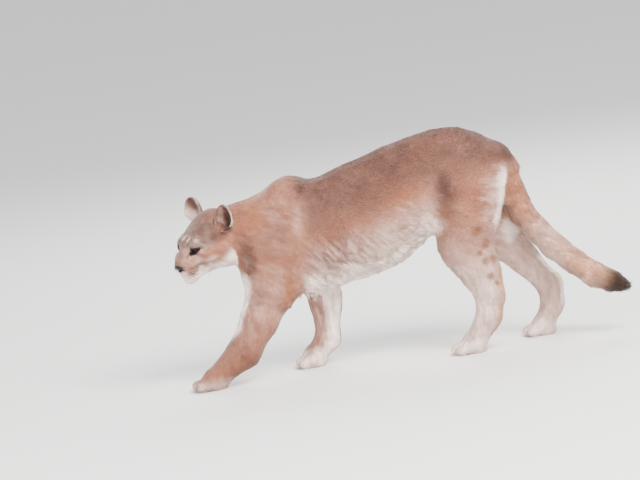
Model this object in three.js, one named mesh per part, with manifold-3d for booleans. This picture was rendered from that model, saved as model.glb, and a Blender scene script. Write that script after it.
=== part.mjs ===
// A young cougar in mid stride with its head low, life size, in millimetres.
// +Z is up, the animal faces -X, and its left side is towards -Y.
import * as THREE from 'three';
import { mergeVertices } from 'three/addons/utils/BufferGeometryUtils.js';
import Module from 'manifold-3d';

const wasm = await Module();
wasm.setup();

const at = (x, y, z) => new THREE.Vector3(x, y, z);

// Driving dimensions of the trunk, read at equal steps from the breast to the tail root
const trunkStart = -280;
const trunkStep = 80;
const backHeights = [500, 562, 606, 588, 609, 631, 655, 675, 683, 674, 628];
const bellyHeights = [282, 250, 243, 246, 264, 278, 304, 358, 396, 412, 490];
const halfWidths = [66, 92, 104, 106, 107, 107, 101, 92, 90, 86, 58];
const breastLength = 12;
const trunkEndLength = 34;
const backNarrowing = 0.16;

// Head: the point midway between the eyes, and how far the head turns, nods and leans
const headCentre = at(-420, -80, 443);
const headTurn = THREE.MathUtils.degToRad(33.2);
const headNod = THREE.MathUtils.degToRad(15.7);
const headLean = THREE.MathUtils.degToRad(-8);

// Neck
const neckTop = at(-343, -34, 466);
const neckRoot = at(-222, -2, 452);
const neckTopRadius = 76;
const neckRootRadius = 103;
const neckWidth = 0.82;

// Legs: joint places of each leg, with the radius of the limb there
const leftFore = {
  blade: [at(-128, -52, 545), 58],
  shoulder: [at(-222, -70, 430), 74],
  elbow: [at(-200, -80, 285), 76],
  forearm: [at(-250, -82, 192), 58],
  wrist: [at(-308, -82, 104), 50],
  knuckles: [at(-405, -84, 34), 33],
  toeTip: at(-466, -86, 15),
};
const rightFore = {
  blade: [at(-105, 52, 540), 58],
  shoulder: [at(-160, 70, 420), 74],
  elbow: [at(-52, 80, 290), 64],
  forearm: [at(-46, 82, 196), 51],
  wrist: [at(-52, 80, 84), 37],
  knuckles: [at(-100, 80, 34), 32],
  toeTip: at(-146, 80, 15),
};
const leftHind = {
  hip: [at(440, -48, 540), 96],
  thigh: [at(412, -62, 430), 96],
  knee: [at(392, -70, 340), 80],
  shank: [at(427, -74, 248), 62],
  hock: [at(450, -76, 170), 46],
  instep: [at(438, -76, 105), 39],
  knuckles: [at(386, -76, 36), 32],
  toeTip: at(326, -76, 15),
};
const rightHind = {
  hip: [at(438, 48, 540), 92],
  thigh: [at(452, 64, 430), 86],
  knee: [at(500, 70, 335), 76],
  shank: [at(566, 76, 248), 47],
  hock: [at(640, 80, 150), 41],
  instep: [at(642, 80, 92), 35],
  knuckles: [at(610, 80, 36), 30],
  toeTip: at(556, 80, 15),
};
const upperLimbWidth = 0.62;
const lowerLimbWidth = 0.82;

// Tail: its centre line from the rump to the tip, and its radius at each point
const tailLine = [
  [at(520, 0, 596), 36],
  [at(554, -5, 549), 32],
  [at(563, -13, 480), 33],
  [at(582, -21, 397), 37],
  [at(613, -29, 345), 39],
  [at(657, -41, 287), 40],
  [at(705, -55, 240), 39],
  [at(758, -71, 194), 37],
  [at(803, -84, 168), 33],
  [at(840, -95, 151), 25],
];

// Size of a surface cell on each kind of piece, and the gap between touching pieces
const trunkCell = 34;
const limbCell = 26;
const shinCell = 21;
const footCell = 17;
const tailCell = 23;
const pawCell = 13;
const headCell = 11;
const noseCell = 6;
const jointGap = 0.3;
const weldDistance = 0.02;

// Eyes and lids
const eyeRadius = 19;
const lidThickness = 2.4;
const eyeSlitHalfLength = 17;

// Forms: functions of x, y and z, negative inside a shape and growing with the distance outside it
const ball = (centre, radii) => (x, y, z) => {
  const dx = x - centre.x;
  const dy = y - centre.y;
  const dz = z - centre.z;
  const reach = Math.hypot(dx / radii.x, dy / radii.y, dz / radii.z);
  const away = Math.hypot(dx, dy, dz);
  return reach > 1e-6 ? away - away / reach : -Math.min(radii.x, radii.y, radii.z);
};

// A tapered limb between two points, its section stretched or flattened along Y by width
const limb = ([from, fromRadius], [to, toRadius], width = 1) => {
  const axis = to.clone().sub(from);
  return (x, y, z) => {
    const dx = x - from.x;
    const dy = y - from.y;
    const dz = z - from.z;
    const along = (dx * axis.x + dy * axis.y + dz * axis.z) / axis.lengthSq();
    const t = THREE.MathUtils.clamp(along, 0, 1);
    const away = Math.hypot(dx - t * axis.x, (dy - t * axis.y) / width, dz - t * axis.z);
    return away - THREE.MathUtils.lerp(fromRadius, toRadius, t);
  };
};

const blendTwo = (a, b, blend) => {
  const overlap = Math.max(blend - Math.abs(a - b), 0) / blend;
  return Math.min(a, b) - overlap * overlap * blend / 4;
};

const fuse = (blend, forms) => (x, y, z) => {
  return forms.reduce((sum, form) => blendTwo(sum, form(x, y, z), blend), 1e4);
};

const carve = (blend, form, hollow) => (x, y, z) => -blendTwo(-form(x, y, z), hollow(x, y, z), blend);

// The value at x of a smooth curve through equally spaced heights
function smoothAlong(values, x) {
  const place = THREE.MathUtils.clamp((x - trunkStart) / trunkStep, 0, values.length - 1);
  const index = Math.min(Math.floor(place), values.length - 2);
  const t = place - index;
  const [a, b, c, d] = [-1, 0, 1, 2].map((step) => {
    return values[THREE.MathUtils.clamp(index + step, 0, values.length - 1)];
  });
  const slopeIn = (c - a) / 2;
  const slopeOut = (d - b) / 2;
  const bend = 3 * (c - b) - 2 * slopeIn - slopeOut;
  const twist = 2 * (b - c) + slopeIn + slopeOut;
  return b + t * (slopeIn + t * (bend + t * twist));
}

const trunkEnd = trunkStart + trunkStep * (backHeights.length - 1);

function trunk(x, y, z) {
  const stationX = THREE.MathUtils.clamp(x, trunkStart, trunkEnd);
  const top = smoothAlong(backHeights, stationX);
  const bottom = smoothAlong(bellyHeights, stationX);
  const halfHeight = (top - bottom) / 2;
  const rise = (z - (top + bottom) / 2) / halfHeight;
  const narrowing = 1 - backNarrowing * THREE.MathUtils.clamp(rise, -1, 1);
  const halfWidth = smoothAlong(halfWidths, stationX) * narrowing;
  const dx = x - stationX;
  const reach = Math.hypot(dx / (dx < 0 ? breastLength : trunkEndLength), y / halfWidth, rise);
  const away = Math.hypot(dx, y, rise * halfHeight);
  return reach > 1e-6 ? away - away / reach : -halfWidth;
}

const neck = limb([neckTop, neckTopRadius], [neckRoot, neckRootRadius], neckWidth);

// Toes fan out from the knuckles, the middle two furthest forward, over a broad pad
function paw({ knuckles, toeTip }, width) {
  const [knuckle, radius] = knuckles;
  const heading = toeTip.clone().sub(knuckle);
  const toes = [-1.5, -0.5, 0.5, 1.5].map((place) => {
    const reach = Math.abs(place) < 1 ? 1 : 0.76;
    const root = knuckle.clone().add(at(0, place * width * 0.2, -4));
    const tip = knuckle.clone().addScaledVector(heading, reach).add(at(0, place * width * 0.25, 0));
    tip.z = toeTip.z;
    return limb([root, radius * 0.52], [tip, 15]);
  });
  const pad = ball(at(knuckle.x + 2, knuckle.y, 12), at(30, width * 0.4, 14));
  return fuse(7, [...toes, pad]);
}

function foreLeg(leg) {
  const upper = fuse(30, [
    limb(leg.blade, leg.shoulder, upperLimbWidth),
    limb(leg.shoulder, leg.elbow, upperLimbWidth),
  ]);
  const lower = fuse(20, [
    limb(leg.elbow, leg.forearm, lowerLimbWidth * 0.86),
    limb(leg.forearm, leg.wrist, lowerLimbWidth),
    limb(leg.wrist, leg.knuckles, 1.15),
  ]);
  return fuse(24, [upper, lower, paw(leg, 92)]);
}

function hindLeg(leg) {
  const upper = fuse(30, [
    limb(leg.hip, leg.thigh, upperLimbWidth),
    limb(leg.thigh, leg.knee, upperLimbWidth),
    limb(leg.knee, leg.shank, upperLimbWidth * 1.1),
  ]);
  const lower = fuse(18, [
    limb(leg.shank, leg.hock, 0.76),
    limb(leg.hock, leg.instep, 0.84),
    limb(leg.instep, leg.knuckles, 1.1),
  ]);
  return fuse(24, [upper, lower, paw(leg, 84)]);
}

const tail = fuse(10, tailLine.slice(1).map((point, index) => limb(tailLine[index], point)));

// The head's own frame: x forward along the nose, y to the animal's left, z up
const headFrame = new THREE.Group();
headFrame.position.copy(headCentre);
headFrame.rotation.set(0, headNod, Math.PI + headTurn, 'ZYX');
headFrame.rotateX(headLean);
headFrame.updateMatrixWorld();
const worldToHead = headFrame.matrixWorld.clone().invert();

const inHead = (form) => {
  const m = worldToHead.elements;
  return (x, y, z) => form(
    m[0] * x + m[4] * y + m[8] * z + m[12],
    m[1] * x + m[5] * y + m[9] * z + m[13],
    m[2] * x + m[6] * y + m[10] * z + m[14],
  );
};

const turned = (direction) => direction.clone().applyQuaternion(headFrame.quaternion);
const placed = (point) => point.clone().applyMatrix4(headFrame.matrixWorld);
const bothSides = (make) => [-1, 1].map(make);

// The skull, bridge, chin, jaw, cheeks, brow, muzzle and lids, in the head's own frame
const skull = carve(8, fuse(14, [
  ball(at(-58, 0, -2), at(76, 68, 62)),
  limb([at(0, 0, 2), 25], [at(57, 0, -32), 17], 1.15),
  ball(at(38, 0, -86), at(24, 21, 24)),
  limb([at(24, 0, -77), 21], [at(-50, 0, -62), 42], 1.2),
  ...bothSides((side) => ball(at(-34, side * 40, -32), at(50, 37, 42))),
  ...bothSides((side) => ball(at(-66, side * 50, -52), at(40, 33, 38))),
  ...bothSides((side) => ball(at(0, side * 34, -8), at(26, 24, 21))),
  ...bothSides((side) => ball(at(28, side * 22, -26), at(28, 18, 20))),
  ...bothSides((side) => limb([at(15, side * 14, 14), 12], [at(-6, side * 46, 12), 13])),
  ...bothSides((side) => ball(at(44, side * 19, -54), at(26, 22, 22))),
]), fuse(4, bothSides((side) => ball(at(38, side * 44, -2), at(14, 15, 7)))));

const cellCorners = Array.from({ length: 8 }, (_, corner) => [corner & 1, (corner >> 1) & 1, corner >> 2]);
const cellEdges = cellCorners.flatMap((_, corner) => {
  return [1, 2, 4].filter((bit) => !(corner & bit)).map((bit) => [corner, corner | bit]);
});

// Whether the chosen corners of a cell form one group joined along its edges
function isJoined(chosen) {
  let group = chosen & -chosen;
  for (let pass = 0; pass < 7; pass += 1) {
    for (const [a, b] of cellEdges) {
      if ((group & (1 << a)) || (group & (1 << b))) {
        group |= ((1 << a) | (1 << b)) & chosen;
      }
    }
  }
  return group === chosen;
}

// Fills corners where the surface would touch itself inside a cell, until none is left
function closePinches(values, [nx, ny, nz], cell) {
  let filled = true;
  while (filled) {
    filled = false;
    for (let k = 1; k < nz - 2; k += 1) {
      for (let j = 1; j < ny - 2; j += 1) {
        for (let i = 1; i < nx - 2; i += 1) {
          const places = cellCorners.map(([a, b, c]) => i + a + nx * (j + b + ny * (k + c)));
          const inside = places.reduce((mask, place, corner) => {
            return mask | (values[place] < 0 ? 1 << corner : 0);
          }, 0);
          if (inside === 0 || inside === 255) continue;
          if (isJoined(inside) && isJoined(255 ^ inside)) continue;
          const outer = places.filter((place) => values[place] >= 0);
          outer.sort((a, b) => values[a] - values[b]);
          values[outer[0]] = -cell * 0.05;
          filled = true;
        }
      }
    }
  }
}

// Surface of a form inside a box as one closed mesh: each cell that it crosses has a vertex, moved onto it.
// Cells of one size lie on one grid, so pieces that meet share their outline.
function meshForm(form, inner, outer, cell) {
  const low = inner.clone().subScalar(2 * cell).divideScalar(cell).floor().multiplyScalar(cell);
  const high = outer.clone().addScalar(2 * cell);
  const counts = ['x', 'y', 'z'].map((axis) => Math.ceil((high[axis] - low[axis]) / cell) + 1);
  const [nx, ny, nz] = counts;
  const cornerIndex = (i, j, k) => i + nx * (j + ny * k);
  const values = new Float64Array(nx * ny * nz);
  for (let k = 0; k < nz; k += 1) {
    for (let j = 0; j < ny; j += 1) {
      for (let i = 0; i < nx; i += 1) {
        const onEdge = i === 0 || j === 0 || k === 0 || i === nx - 1 || j === ny - 1 || k === nz - 1;
        const value = form(low.x + i * cell, low.y + j * cell, low.z + k * cell);
        values[cornerIndex(i, j, k)] = onEdge ? Math.max(value, cell / 2) : value;
      }
    }
  }
  closePinches(values, counts, cell);
  const positions = [];
  const vertexOf = new Int32Array(nx * ny * nz).fill(-1);
  for (let k = 0; k < nz - 1; k += 1) {
    for (let j = 0; j < ny - 1; j += 1) {
      for (let i = 0; i < nx - 1; i += 1) {
        const sum = at(0, 0, 0);
        let crossings = 0;
        for (const [a, b] of cellEdges) {
          const [ax, ay, az] = cellCorners[a];
          const [bx, by, bz] = cellCorners[b];
          const va = values[cornerIndex(i + ax, j + ay, k + az)];
          const vb = values[cornerIndex(i + bx, j + by, k + bz)];
          if ((va < 0) === (vb < 0)) continue;
          const t = va / (va - vb);
          sum.add(at(ax + t * (bx - ax), ay + t * (by - ay), az + t * (bz - az)));
          crossings += 1;
        }
        if (crossings === 0) continue;
        const inside = i > 0 && j > 0 && k > 0 && i < nx - 2 && j < ny - 2 && k < nz - 2;
        const place = sum.multiplyScalar(cell / crossings);
        place.add(at(low.x + i * cell, low.y + j * cell, low.z + k * cell));
        if (inside) settleOnForm(form, place, cell);
        vertexOf[cornerIndex(i, j, k)] = positions.length / 3;
        positions.push(place.x, place.y, place.z);
      }
    }
  }
  const indices = [];
  const steps = [[1, 0, 0], [0, 1, 0], [0, 0, 1]];
  for (let k = 0; k < nz - 1; k += 1) {
    for (let j = 0; j < ny - 1; j += 1) {
      for (let i = 0; i < nx - 1; i += 1) {
        steps.forEach((step, axis) => {
          const here = values[cornerIndex(i, j, k)] < 0;
          const next = values[cornerIndex(i + step[0], j + step[1], k + step[2])] < 0;
          if (here === next) return;
          const u = steps[(axis + 1) % 3];
          const v = steps[(axis + 2) % 3];
          const quad = [[0, 0], [1, 0], [1, 1], [0, 1]].map(([a, b]) => vertexOf[cornerIndex(
            i - a * u[0] - b * v[0],
            j - a * u[1] - b * v[1],
            k - a * u[2] - b * v[2],
          )]);
          pushQuad(indices, positions, here ? quad : quad.reverse());
        });
      }
    }
  }
  const geometry = new THREE.BufferGeometry();
  geometry.setAttribute('position', new THREE.Float32BufferAttribute(positions, 3));
  geometry.setIndex(indices);
  return geometry;
}

// Moves a point along the slope of the form until it lies on the surface, by less than a cell
function settleOnForm(form, place, cell) {
  const start = place.clone();
  const nudge = cell * 0.02;
  for (let step = 0; step < 3; step += 1) {
    const value = form(place.x, place.y, place.z);
    const slope = at(
      form(place.x + nudge, place.y, place.z) - value,
      form(place.x, place.y + nudge, place.z) - value,
      form(place.x, place.y, place.z + nudge) - value,
    ).divideScalar(nudge);
    place.addScaledVector(slope, -value / Math.max(slope.lengthSq(), 0.2));
  }
  const moved = place.clone().sub(start);
  place.copy(start).add(moved.clampLength(0, cell * 0.3));
}

// Two triangles over four vertices, split along the shorter diagonal
function pushQuad(indices, positions, [a, b, c, d]) {
  const apart = (p, q) => {
    return Math.hypot(...[0, 1, 2].map((axis) => positions[3 * p + axis] - positions[3 * q + axis]));
  };
  if (apart(a, c) <= apart(b, d)) {
    indices.push(a, b, c, a, c, d);
  } else {
    indices.push(a, b, d, b, c, d);
  }
}

// Joining and cutting of closed meshes
function toSolid(geometry) {
  const bare = geometry.clone();
  bare.deleteAttribute('normal');
  bare.deleteAttribute('uv');
  const merged = mergeVertices(bare, 1e-4);
  return new wasm.Manifold(new wasm.Mesh({
    numProp: 3,
    vertProperties: new Float32Array(merged.attributes.position.array),
    triVerts: new Uint32Array(merged.index.array),
  }));
}

// The solid's surface, with corners closer than the weld made one and the slivers between them left out
function toGeometry(solid) {
  const mesh = solid.getMesh();
  const geometry = new THREE.BufferGeometry();
  geometry.setAttribute('position', new THREE.BufferAttribute(new Float32Array(mesh.vertProperties), 3));
  geometry.setIndex(new THREE.BufferAttribute(new Uint32Array(mesh.triVerts), 1));
  const welded = mergeVertices(geometry, weldDistance);
  const kept = [];
  for (let start = 0; start < welded.index.count; start += 3) {
    const [a, b, c] = [0, 1, 2].map((corner) => welded.index.getX(start + corner));
    if (a !== b && b !== c && c !== a) {
      kept.push(a, b, c);
    }
  }
  welded.setIndex(kept);
  return welded;
}

const largestOf = (solid) => solid.decompose().sort((a, b) => b.volume() - a.volume())[0];

// Planes between pieces, each with its normal pointing away from the middle of the trunk
const plane = (point, normal) => ({ point, normal: normal.normalize() });
const inward = ({ point, normal }) => plane(point, normal.clone().negate());
const across = ([from], [to], t) => plane(from.clone().lerp(to, t), to.clone().sub(from));

const headPlane = plane(placed(at(-116, 0, -10)), turned(at(1, 0, -0.12)));
const jawPlane = plane(placed(at(0, 0, -116)), turned(at(0.16, 0, 1)));
const neckPlane = plane(at(-252, 0, 460), at(-0.94, -0.08, 0.34));
const waistPlane = plane(at(60, 0, 400), at(1, 0, 0));
const rumpPlane = plane(at(268, 0, 480), at(1, 0, 0));
const tailPlane = plane(at(561, 0, 487), at(0.15, 0, -0.99));
const behindRump = plane(at(536, 0, 470), at(1, 0, 0));
const sideOf = (side) => plane(at(0, 0, 0), at(0, side, 0));
const skyPlane = plane(at(0, 0, 1400), at(0, 0, -1));
const floorPlane = plane(at(0, 0, -jointGap / 2), at(0, 0, 1));
const besideTail = plane(at(0, 27, 0), at(0, -1, 0));

const tailRoot = [tailPlane, behindRump, besideTail];

// Half of space on the side that the plane's normal points to, moved the other way by grow
function halfSpace({ point, normal }, grow) {
  const reach = 1800;
  const block = new THREE.BoxGeometry(reach, reach, reach);
  block.translate(0, 0, reach / 2 - grow);
  block.applyQuaternion(new THREE.Quaternion().setFromUnitVectors(at(0, 0, 1), normal));
  block.translate(point.x, point.y, point.z);
  return toSolid(block);
}

const block = (planes, grow) => wasm.Manifold.intersection(planes.map((each) => halfSpace(each, grow)));

// A piece of flesh: the surface of the form in a box, inside some planes and outside some blocks of planes
function flesh(form, { low, high, cell, inside, outside = [] }) {
  const whole = toSolid(meshForm(form, low, high, cell));
  const kept = whole.intersect(block(inside, -jointGap / 2));
  return largestOf(outside.reduce((solid, planes) => solid.subtract(block(planes, jointGap / 2)), kept));
}

// Each leg starts below a plane that slopes up and out from the middle of the belly
const legRoots = {
  foreLeft: [
    plane(at(-200, 0, 228), at(-0.1, -0.76, -0.64)),
    plane(at(-104, 0, 270), at(-0.97, 0, 0.24)),
  ],
  foreRight: [
    plane(at(-90, 0, 236), at(0, 0.76, -0.64)),
    plane(at(-158, 0, 285), at(0.97, 0, 0.24)),
    plane(at(34, 0, 290), at(-1, 0, 0)),
  ],
  hindLeft: [plane(at(400, 0, 392), at(0, -0.72, -0.7)), rumpPlane],
  hindRight: [plane(at(400, 0, 392), at(0, 0.72, -0.7)), rumpPlane],
};

// The whole body as one form
const foreLegs = [foreLeg(leftFore), foreLeg(rightFore)];
const hindLegs = [hindLeg(leftHind), hindLeg(rightHind)];
const trunkAndLegs = fuse(36, [trunk, neck, ...foreLegs, ...hindLegs, tail]);
const body = fuse(22, [trunkAndLegs, inHead(skull)]);

const finishes = {
  tawny: new THREE.MeshStandardMaterial({ color: '#b58a63', roughness: 0.9, metalness: 0 }),
  pale: new THREE.MeshStandardMaterial({ color: '#d9c8ae', roughness: 0.9, metalness: 0 }),
  dark: new THREE.MeshStandardMaterial({ color: '#5b4334', roughness: 0.9, metalness: 0 }),
  nose: new THREE.MeshStandardMaterial({ color: '#4a2f2a', roughness: 0.5, metalness: 0 }),
  eye: new THREE.MeshStandardMaterial({ color: '#3a2a16', roughness: 0.15, metalness: 0 }),
};

const cougar = new THREE.Group();
cougar.name = 'cougar';

function addPiece(name, solid, finish) {
  const mesh = new THREE.Mesh(toGeometry(solid), finishes[finish]);
  mesh.name = name;
  cougar.add(mesh);
}

// Trunk
addPiece('chest', flesh(body, {
  low: at(-370, -170, 180),
  high: at(100, 170, 650),
  cell: trunkCell,
  inside: [inward(neckPlane), inward(waistPlane)],
  outside: [legRoots.foreLeft, legRoots.foreRight],
}), 'tawny');
addPiece('abdomen', flesh(body, {
  low: at(10, -170, 220),
  high: at(330, 170, 730),
  cell: trunkCell,
  inside: [waistPlane, inward(rumpPlane)],
}), 'tawny');
addPiece('rump', flesh(body, {
  low: at(210, -170, 330),
  high: at(640, 170, 740),
  cell: trunkCell,
  inside: [rumpPlane],
  outside: [legRoots.hindLeft, legRoots.hindRight, tailRoot],
}), 'tawny');
addPiece('neck', flesh(body, {
  low: at(-420, -170, 300),
  high: at(-180, 150, 640),
  cell: limbCell,
  inside: [neckPlane],
  outside: [[headPlane, jawPlane], legRoots.foreLeft, legRoots.foreRight],
}), 'tawny');

// Legs: each length runs between two joints, from one plane across the limb to the next
function addLeg(word, side, root, lengths) {
  lengths.forEach(({ name, joints, cell, finish = 'tawny', end }, index) => {
    const around = new THREE.Box3().setFromPoints(joints.map(([place]) => place));
    around.expandByScalar(1.4 * Math.max(...joints.map(([, radius]) => radius)));
    const start = index > 0 ? [lengths[index - 1].end] : [];
    const inside = [...start, end ? inward(end) : floorPlane, sideOf(side)];
    if (index < 2) {
      inside.push(...root);
    }
    const region = { low: around.min, high: around.max, cell, inside, outside: [tailRoot] };
    addPiece(`${name}_${word}`, flesh(body, region), finish);
  });
}

function addForeLeg(word, side, leg, root) {
  const { shoulder, elbow, forearm, wrist, knuckles, toeTip } = leg;
  addLeg(word, side, root, [
    { name: 'upper_arm', joints: [shoulder, elbow], cell: limbCell, end: across(elbow, forearm, 0.25) },
    { name: 'forearm', joints: [elbow, wrist], cell: shinCell, end: across(wrist, knuckles, 0.12) },
    { name: 'forepaw', joints: [wrist, knuckles, [toeTip, 30]], cell: pawCell, finish: 'pale' },
  ]);
}

function addHindLeg(word, side, leg, root) {
  const { hip, thigh, knee, shank, hock, instep, knuckles, toeTip } = leg;
  const heel = across(instep, knuckles, 0.45);
  addLeg(word, side, root, [
    { name: 'thigh', joints: [hip, thigh, shank], cell: limbCell, end: across(knee, shank, 0.3) },
    { name: 'shank', joints: [knee, hock], cell: shinCell, end: across(hock, instep, 0.1) },
    { name: 'hind_foot', joints: [hock, knuckles], cell: footCell, finish: 'pale', end: heel },
    { name: 'hindpaw', joints: [instep, knuckles, [toeTip, 30]], cell: pawCell, finish: 'pale' },
  ]);
}

addForeLeg('left', -1, leftFore, legRoots.foreLeft);
addForeLeg('right', 1, rightFore, legRoots.foreRight);
addHindLeg('left', -1, leftHind, legRoots.hindLeft);
addHindLeg('right', 1, rightHind, legRoots.hindRight);

// Tail, in three lengths
const tailJoints = [across(tailLine[4], tailLine[5], 0.1), across(tailLine[7], tailLine[8], 0.4)];
[
  ['tail_base', [...tailRoot, inward(tailJoints[0])], 'tawny'],
  ['tail_middle', [tailJoints[0], besideTail, inward(tailJoints[1])], 'tawny'],
  ['tail_tip', [tailJoints[1]], 'dark'],
].forEach(([name, inside, finish]) => {
  const region = { low: at(480, -160, 90), high: at(900, 70, 560), cell: tailCell, inside };
  addPiece(name, flesh(body, region), finish);
});

// Head: one piece with its lids, lips, nostrils and mouth, and separate eyes, ears and nose pad
const headBox = {
  low: at(-560, -230, 290),
  high: at(-270, 100, 560),
  cell: headCell,
  inside: [headPlane, jawPlane, neckPlane],
};
const toHeadPlace = (geometry) => toSolid(geometry.applyMatrix4(headFrame.matrixWorld));
const swollen = (form, by) => (x, y, z) => form(x, y, z) - by;

// Turns a shape drawn round the origin, facing +Z with +Y up, to face along a direction from a place
function facing(geometry, place, direction) {
  const sideways = at(0, 0, 1).cross(direction).normalize();
  const upright = direction.clone().cross(sideways);
  const basis = new THREE.Matrix4().makeBasis(sideways, upright, direction);
  return geometry.applyMatrix4(basis.setPosition(place));
}

const gaze = (side) => at(0.9, side * 0.44, 0.1).normalize();
const eyePlace = (side) => at(6, side * 32, -4);

// A dome of the eyeball's front half, facing out
function eyeDome(side, radius) {
  const profile = Array.from({ length: 7 }, (_, index) => {
    const angle = index * Math.PI / 12;
    return new THREE.Vector2(radius * Math.cos(angle), radius * Math.sin(angle));
  });
  profile[6].x = 0;
  const dome = new THREE.LatheGeometry([new THREE.Vector2(0, 0), ...profile], 14).rotateX(Math.PI / 2);
  return toHeadPlace(facing(dome, eyePlace(side), gaze(side)));
}

// The room behind the lids, a little larger than the eye
const eyeSocket = (side) => eyeDome(side, eyeRadius + jointGap);

// The opening between the lids: an almond, its inner corner low
function lidOpening(side) {
  const almond = new THREE.Shape();
  almond.moveTo(-side * eyeSlitHalfLength, -6);
  almond.quadraticCurveTo(-side * 3, 15, side * eyeSlitHalfLength, 4);
  almond.quadraticCurveTo(side * 2, -14, -side * eyeSlitHalfLength, -6);
  const prism = new THREE.ExtrudeGeometry(almond, { depth: 40, bevelEnabled: false, curveSegments: 6 });
  return toHeadPlace(facing(prism, eyePlace(side), gaze(side)));
}

// A round bar along a path, with few sides
function bar(points, radius, steps) {
  const section = new THREE.Shape();
  section.absarc(0, 0, radius, 0, 2 * Math.PI);
  const path = new THREE.CatmullRomCurve3(points);
  return toHeadPlace(new THREE.ExtrudeGeometry(section, { steps, curveSegments: 3, extrudePath: path }));
}

// The first point outside the skull on a level ray from the middle of the muzzle
function onMuzzle(angle, height) {
  const place = at(12, 0, height);
  const direction = at(Math.cos(angle), Math.sin(angle), 0);
  while (skull(place.x, place.y, place.z) < 0) {
    place.addScaledVector(direction, 0.5);
  }
  return place;
}

const mouthAngles = Array.from({ length: 13 }, (_, index) => THREE.MathUtils.degToRad(-72 + index * 12));
const mouthHeight = (angle) => -67 - 12 * Math.sin(Math.min(1.7 * Math.abs(angle), Math.PI / 2));
const mouthLine = mouthAngles.map((angle) => onMuzzle(angle, mouthHeight(angle)));
const lipLine = mouthAngles.map((angle) => onMuzzle(angle, mouthHeight(angle) - 5).add(at(-2, 0, 0)));
const philtrum = [at(72, 0, -52), at(onMuzzle(0, -60).x, 0, -60), at(onMuzzle(0, -67).x, 0, -67)];

// Nose pad: a broad blob over a narrow stem, set in a room of its own shape a little larger than it
const nosePlace = at(64, 0, -45);
const nosePad = fuse(4, [
  ball(at(65, 0, -41), at(10, 16, 9)),
  ball(at(63, 0, -51), at(9, 7, 9)),
  ...bothSides((side) => ball(at(63, side * 11, -46), at(10, 8, 8))),
]);
function noseSolid(growth) {
  const low = nosePlace.clone().subScalar(22);
  const high = nosePlace.clone().addScalar(22);
  const geometry = meshForm(nosePad, low, high, noseCell);
  geometry.translate(-nosePlace.x, -nosePlace.y, -nosePlace.z);
  geometry.scale(growth, growth, growth);
  return toHeadPlace(geometry.translate(nosePlace.x, nosePlace.y, nosePlace.z));
}
const nostril = (side) => {
  return bar([at(77, side * 6, -48), at(69, side * 11, -47), at(63, side * 19, -43)], 2.8, 4);
};

let head = flesh(body, headBox);
bothSides((side) => {
  head = head.add(eyeDome(side, eyeRadius + lidThickness));
});
head = head.add(bar(lipLine, 3, 14));
bothSides((side) => {
  head = head.subtract(lidOpening(side)).subtract(eyeSocket(side));
  addPiece(side > 0 ? 'eye_left' : 'eye_right', eyeDome(side, eyeRadius), 'eye');
});
head = head.subtract(bar(mouthLine, 2.2, 14)).subtract(bar(philtrum, 1.8, 3));
head = head.subtract(noseSolid(1.06));
addPiece('head', largestOf(head), 'tawny');
addPiece('nose', noseSolid(1).subtract(nostril(-1)).subtract(nostril(1)), 'nose');

// Ears: the rounded shell left when a smaller egg is taken out of a larger one on its open side
const headSwollen = flesh(swollen(body, jointGap), { ...headBox, inside: [skyPlane] });
bothSides((side) => {
  const base = at(-80, side * 72, 24);
  const rise = at(-99, side * 86, 105).sub(base);
  const centre = base.addScaledVector(rise, 0.45);
  const upright = rise.clone().normalize();
  const sideways = upright.clone().cross(at(0.98, side * 0.2, 0)).normalize();
  const opening = sideways.clone().cross(upright);
  const egg = (depth, width, height, shift) => {
    const shell = new THREE.SphereGeometry(1, 12, 8).scale(depth, width, height);
    shell.translate(shift, 0, shift * 0.1);
    const basis = new THREE.Matrix4().makeBasis(opening, sideways, upright).setPosition(centre);
    return toHeadPlace(shell.applyMatrix4(basis));
  };
  const ear = egg(20, 31, 46, 0).subtract(egg(24, 25, 39, 13));
  addPiece(side > 0 ? 'ear_left' : 'ear_right', largestOf(ear.subtract(headSwollen)), 'tawny');
});

// The model's origin is on the floor, in the middle of its extent
const extent = new THREE.Box3().setFromObject(cougar);
const middle = extent.getCenter(at(0, 0, 0));
cougar.position.set(-middle.x, -middle.y, -extent.min.z);

export default cougar;
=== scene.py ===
import math
from collections import namedtuple

import bmesh
import bpy
import numpy as np
from mathutils import Matrix, Vector
from mathutils.bvhtree import BVHTree


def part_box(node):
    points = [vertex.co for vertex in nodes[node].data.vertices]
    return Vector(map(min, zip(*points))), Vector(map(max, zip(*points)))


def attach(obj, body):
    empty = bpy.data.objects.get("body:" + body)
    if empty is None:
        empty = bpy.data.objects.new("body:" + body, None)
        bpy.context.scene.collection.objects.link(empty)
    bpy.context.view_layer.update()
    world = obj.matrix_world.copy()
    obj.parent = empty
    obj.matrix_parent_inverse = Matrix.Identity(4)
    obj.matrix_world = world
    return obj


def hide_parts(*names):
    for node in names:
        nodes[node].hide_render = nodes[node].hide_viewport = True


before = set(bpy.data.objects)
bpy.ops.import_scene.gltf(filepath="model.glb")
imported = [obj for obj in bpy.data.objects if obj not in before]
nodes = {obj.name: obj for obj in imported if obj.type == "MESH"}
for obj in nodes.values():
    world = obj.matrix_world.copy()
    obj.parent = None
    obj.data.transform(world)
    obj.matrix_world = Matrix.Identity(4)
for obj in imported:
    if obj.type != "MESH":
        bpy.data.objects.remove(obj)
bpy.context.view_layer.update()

random = np.random.default_rng(7)

# Places are given in the millimetres of the solids' own source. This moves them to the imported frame.
shift = np.array([
    (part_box("abdomen")[0].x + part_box("abdomen")[1].x) / 2 - 0.164,
    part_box("thigh_left")[1].y + 0.00015,
    0,
])


def placed(*point):
    return Vector(np.array(point) * 0.001 + shift)


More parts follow.
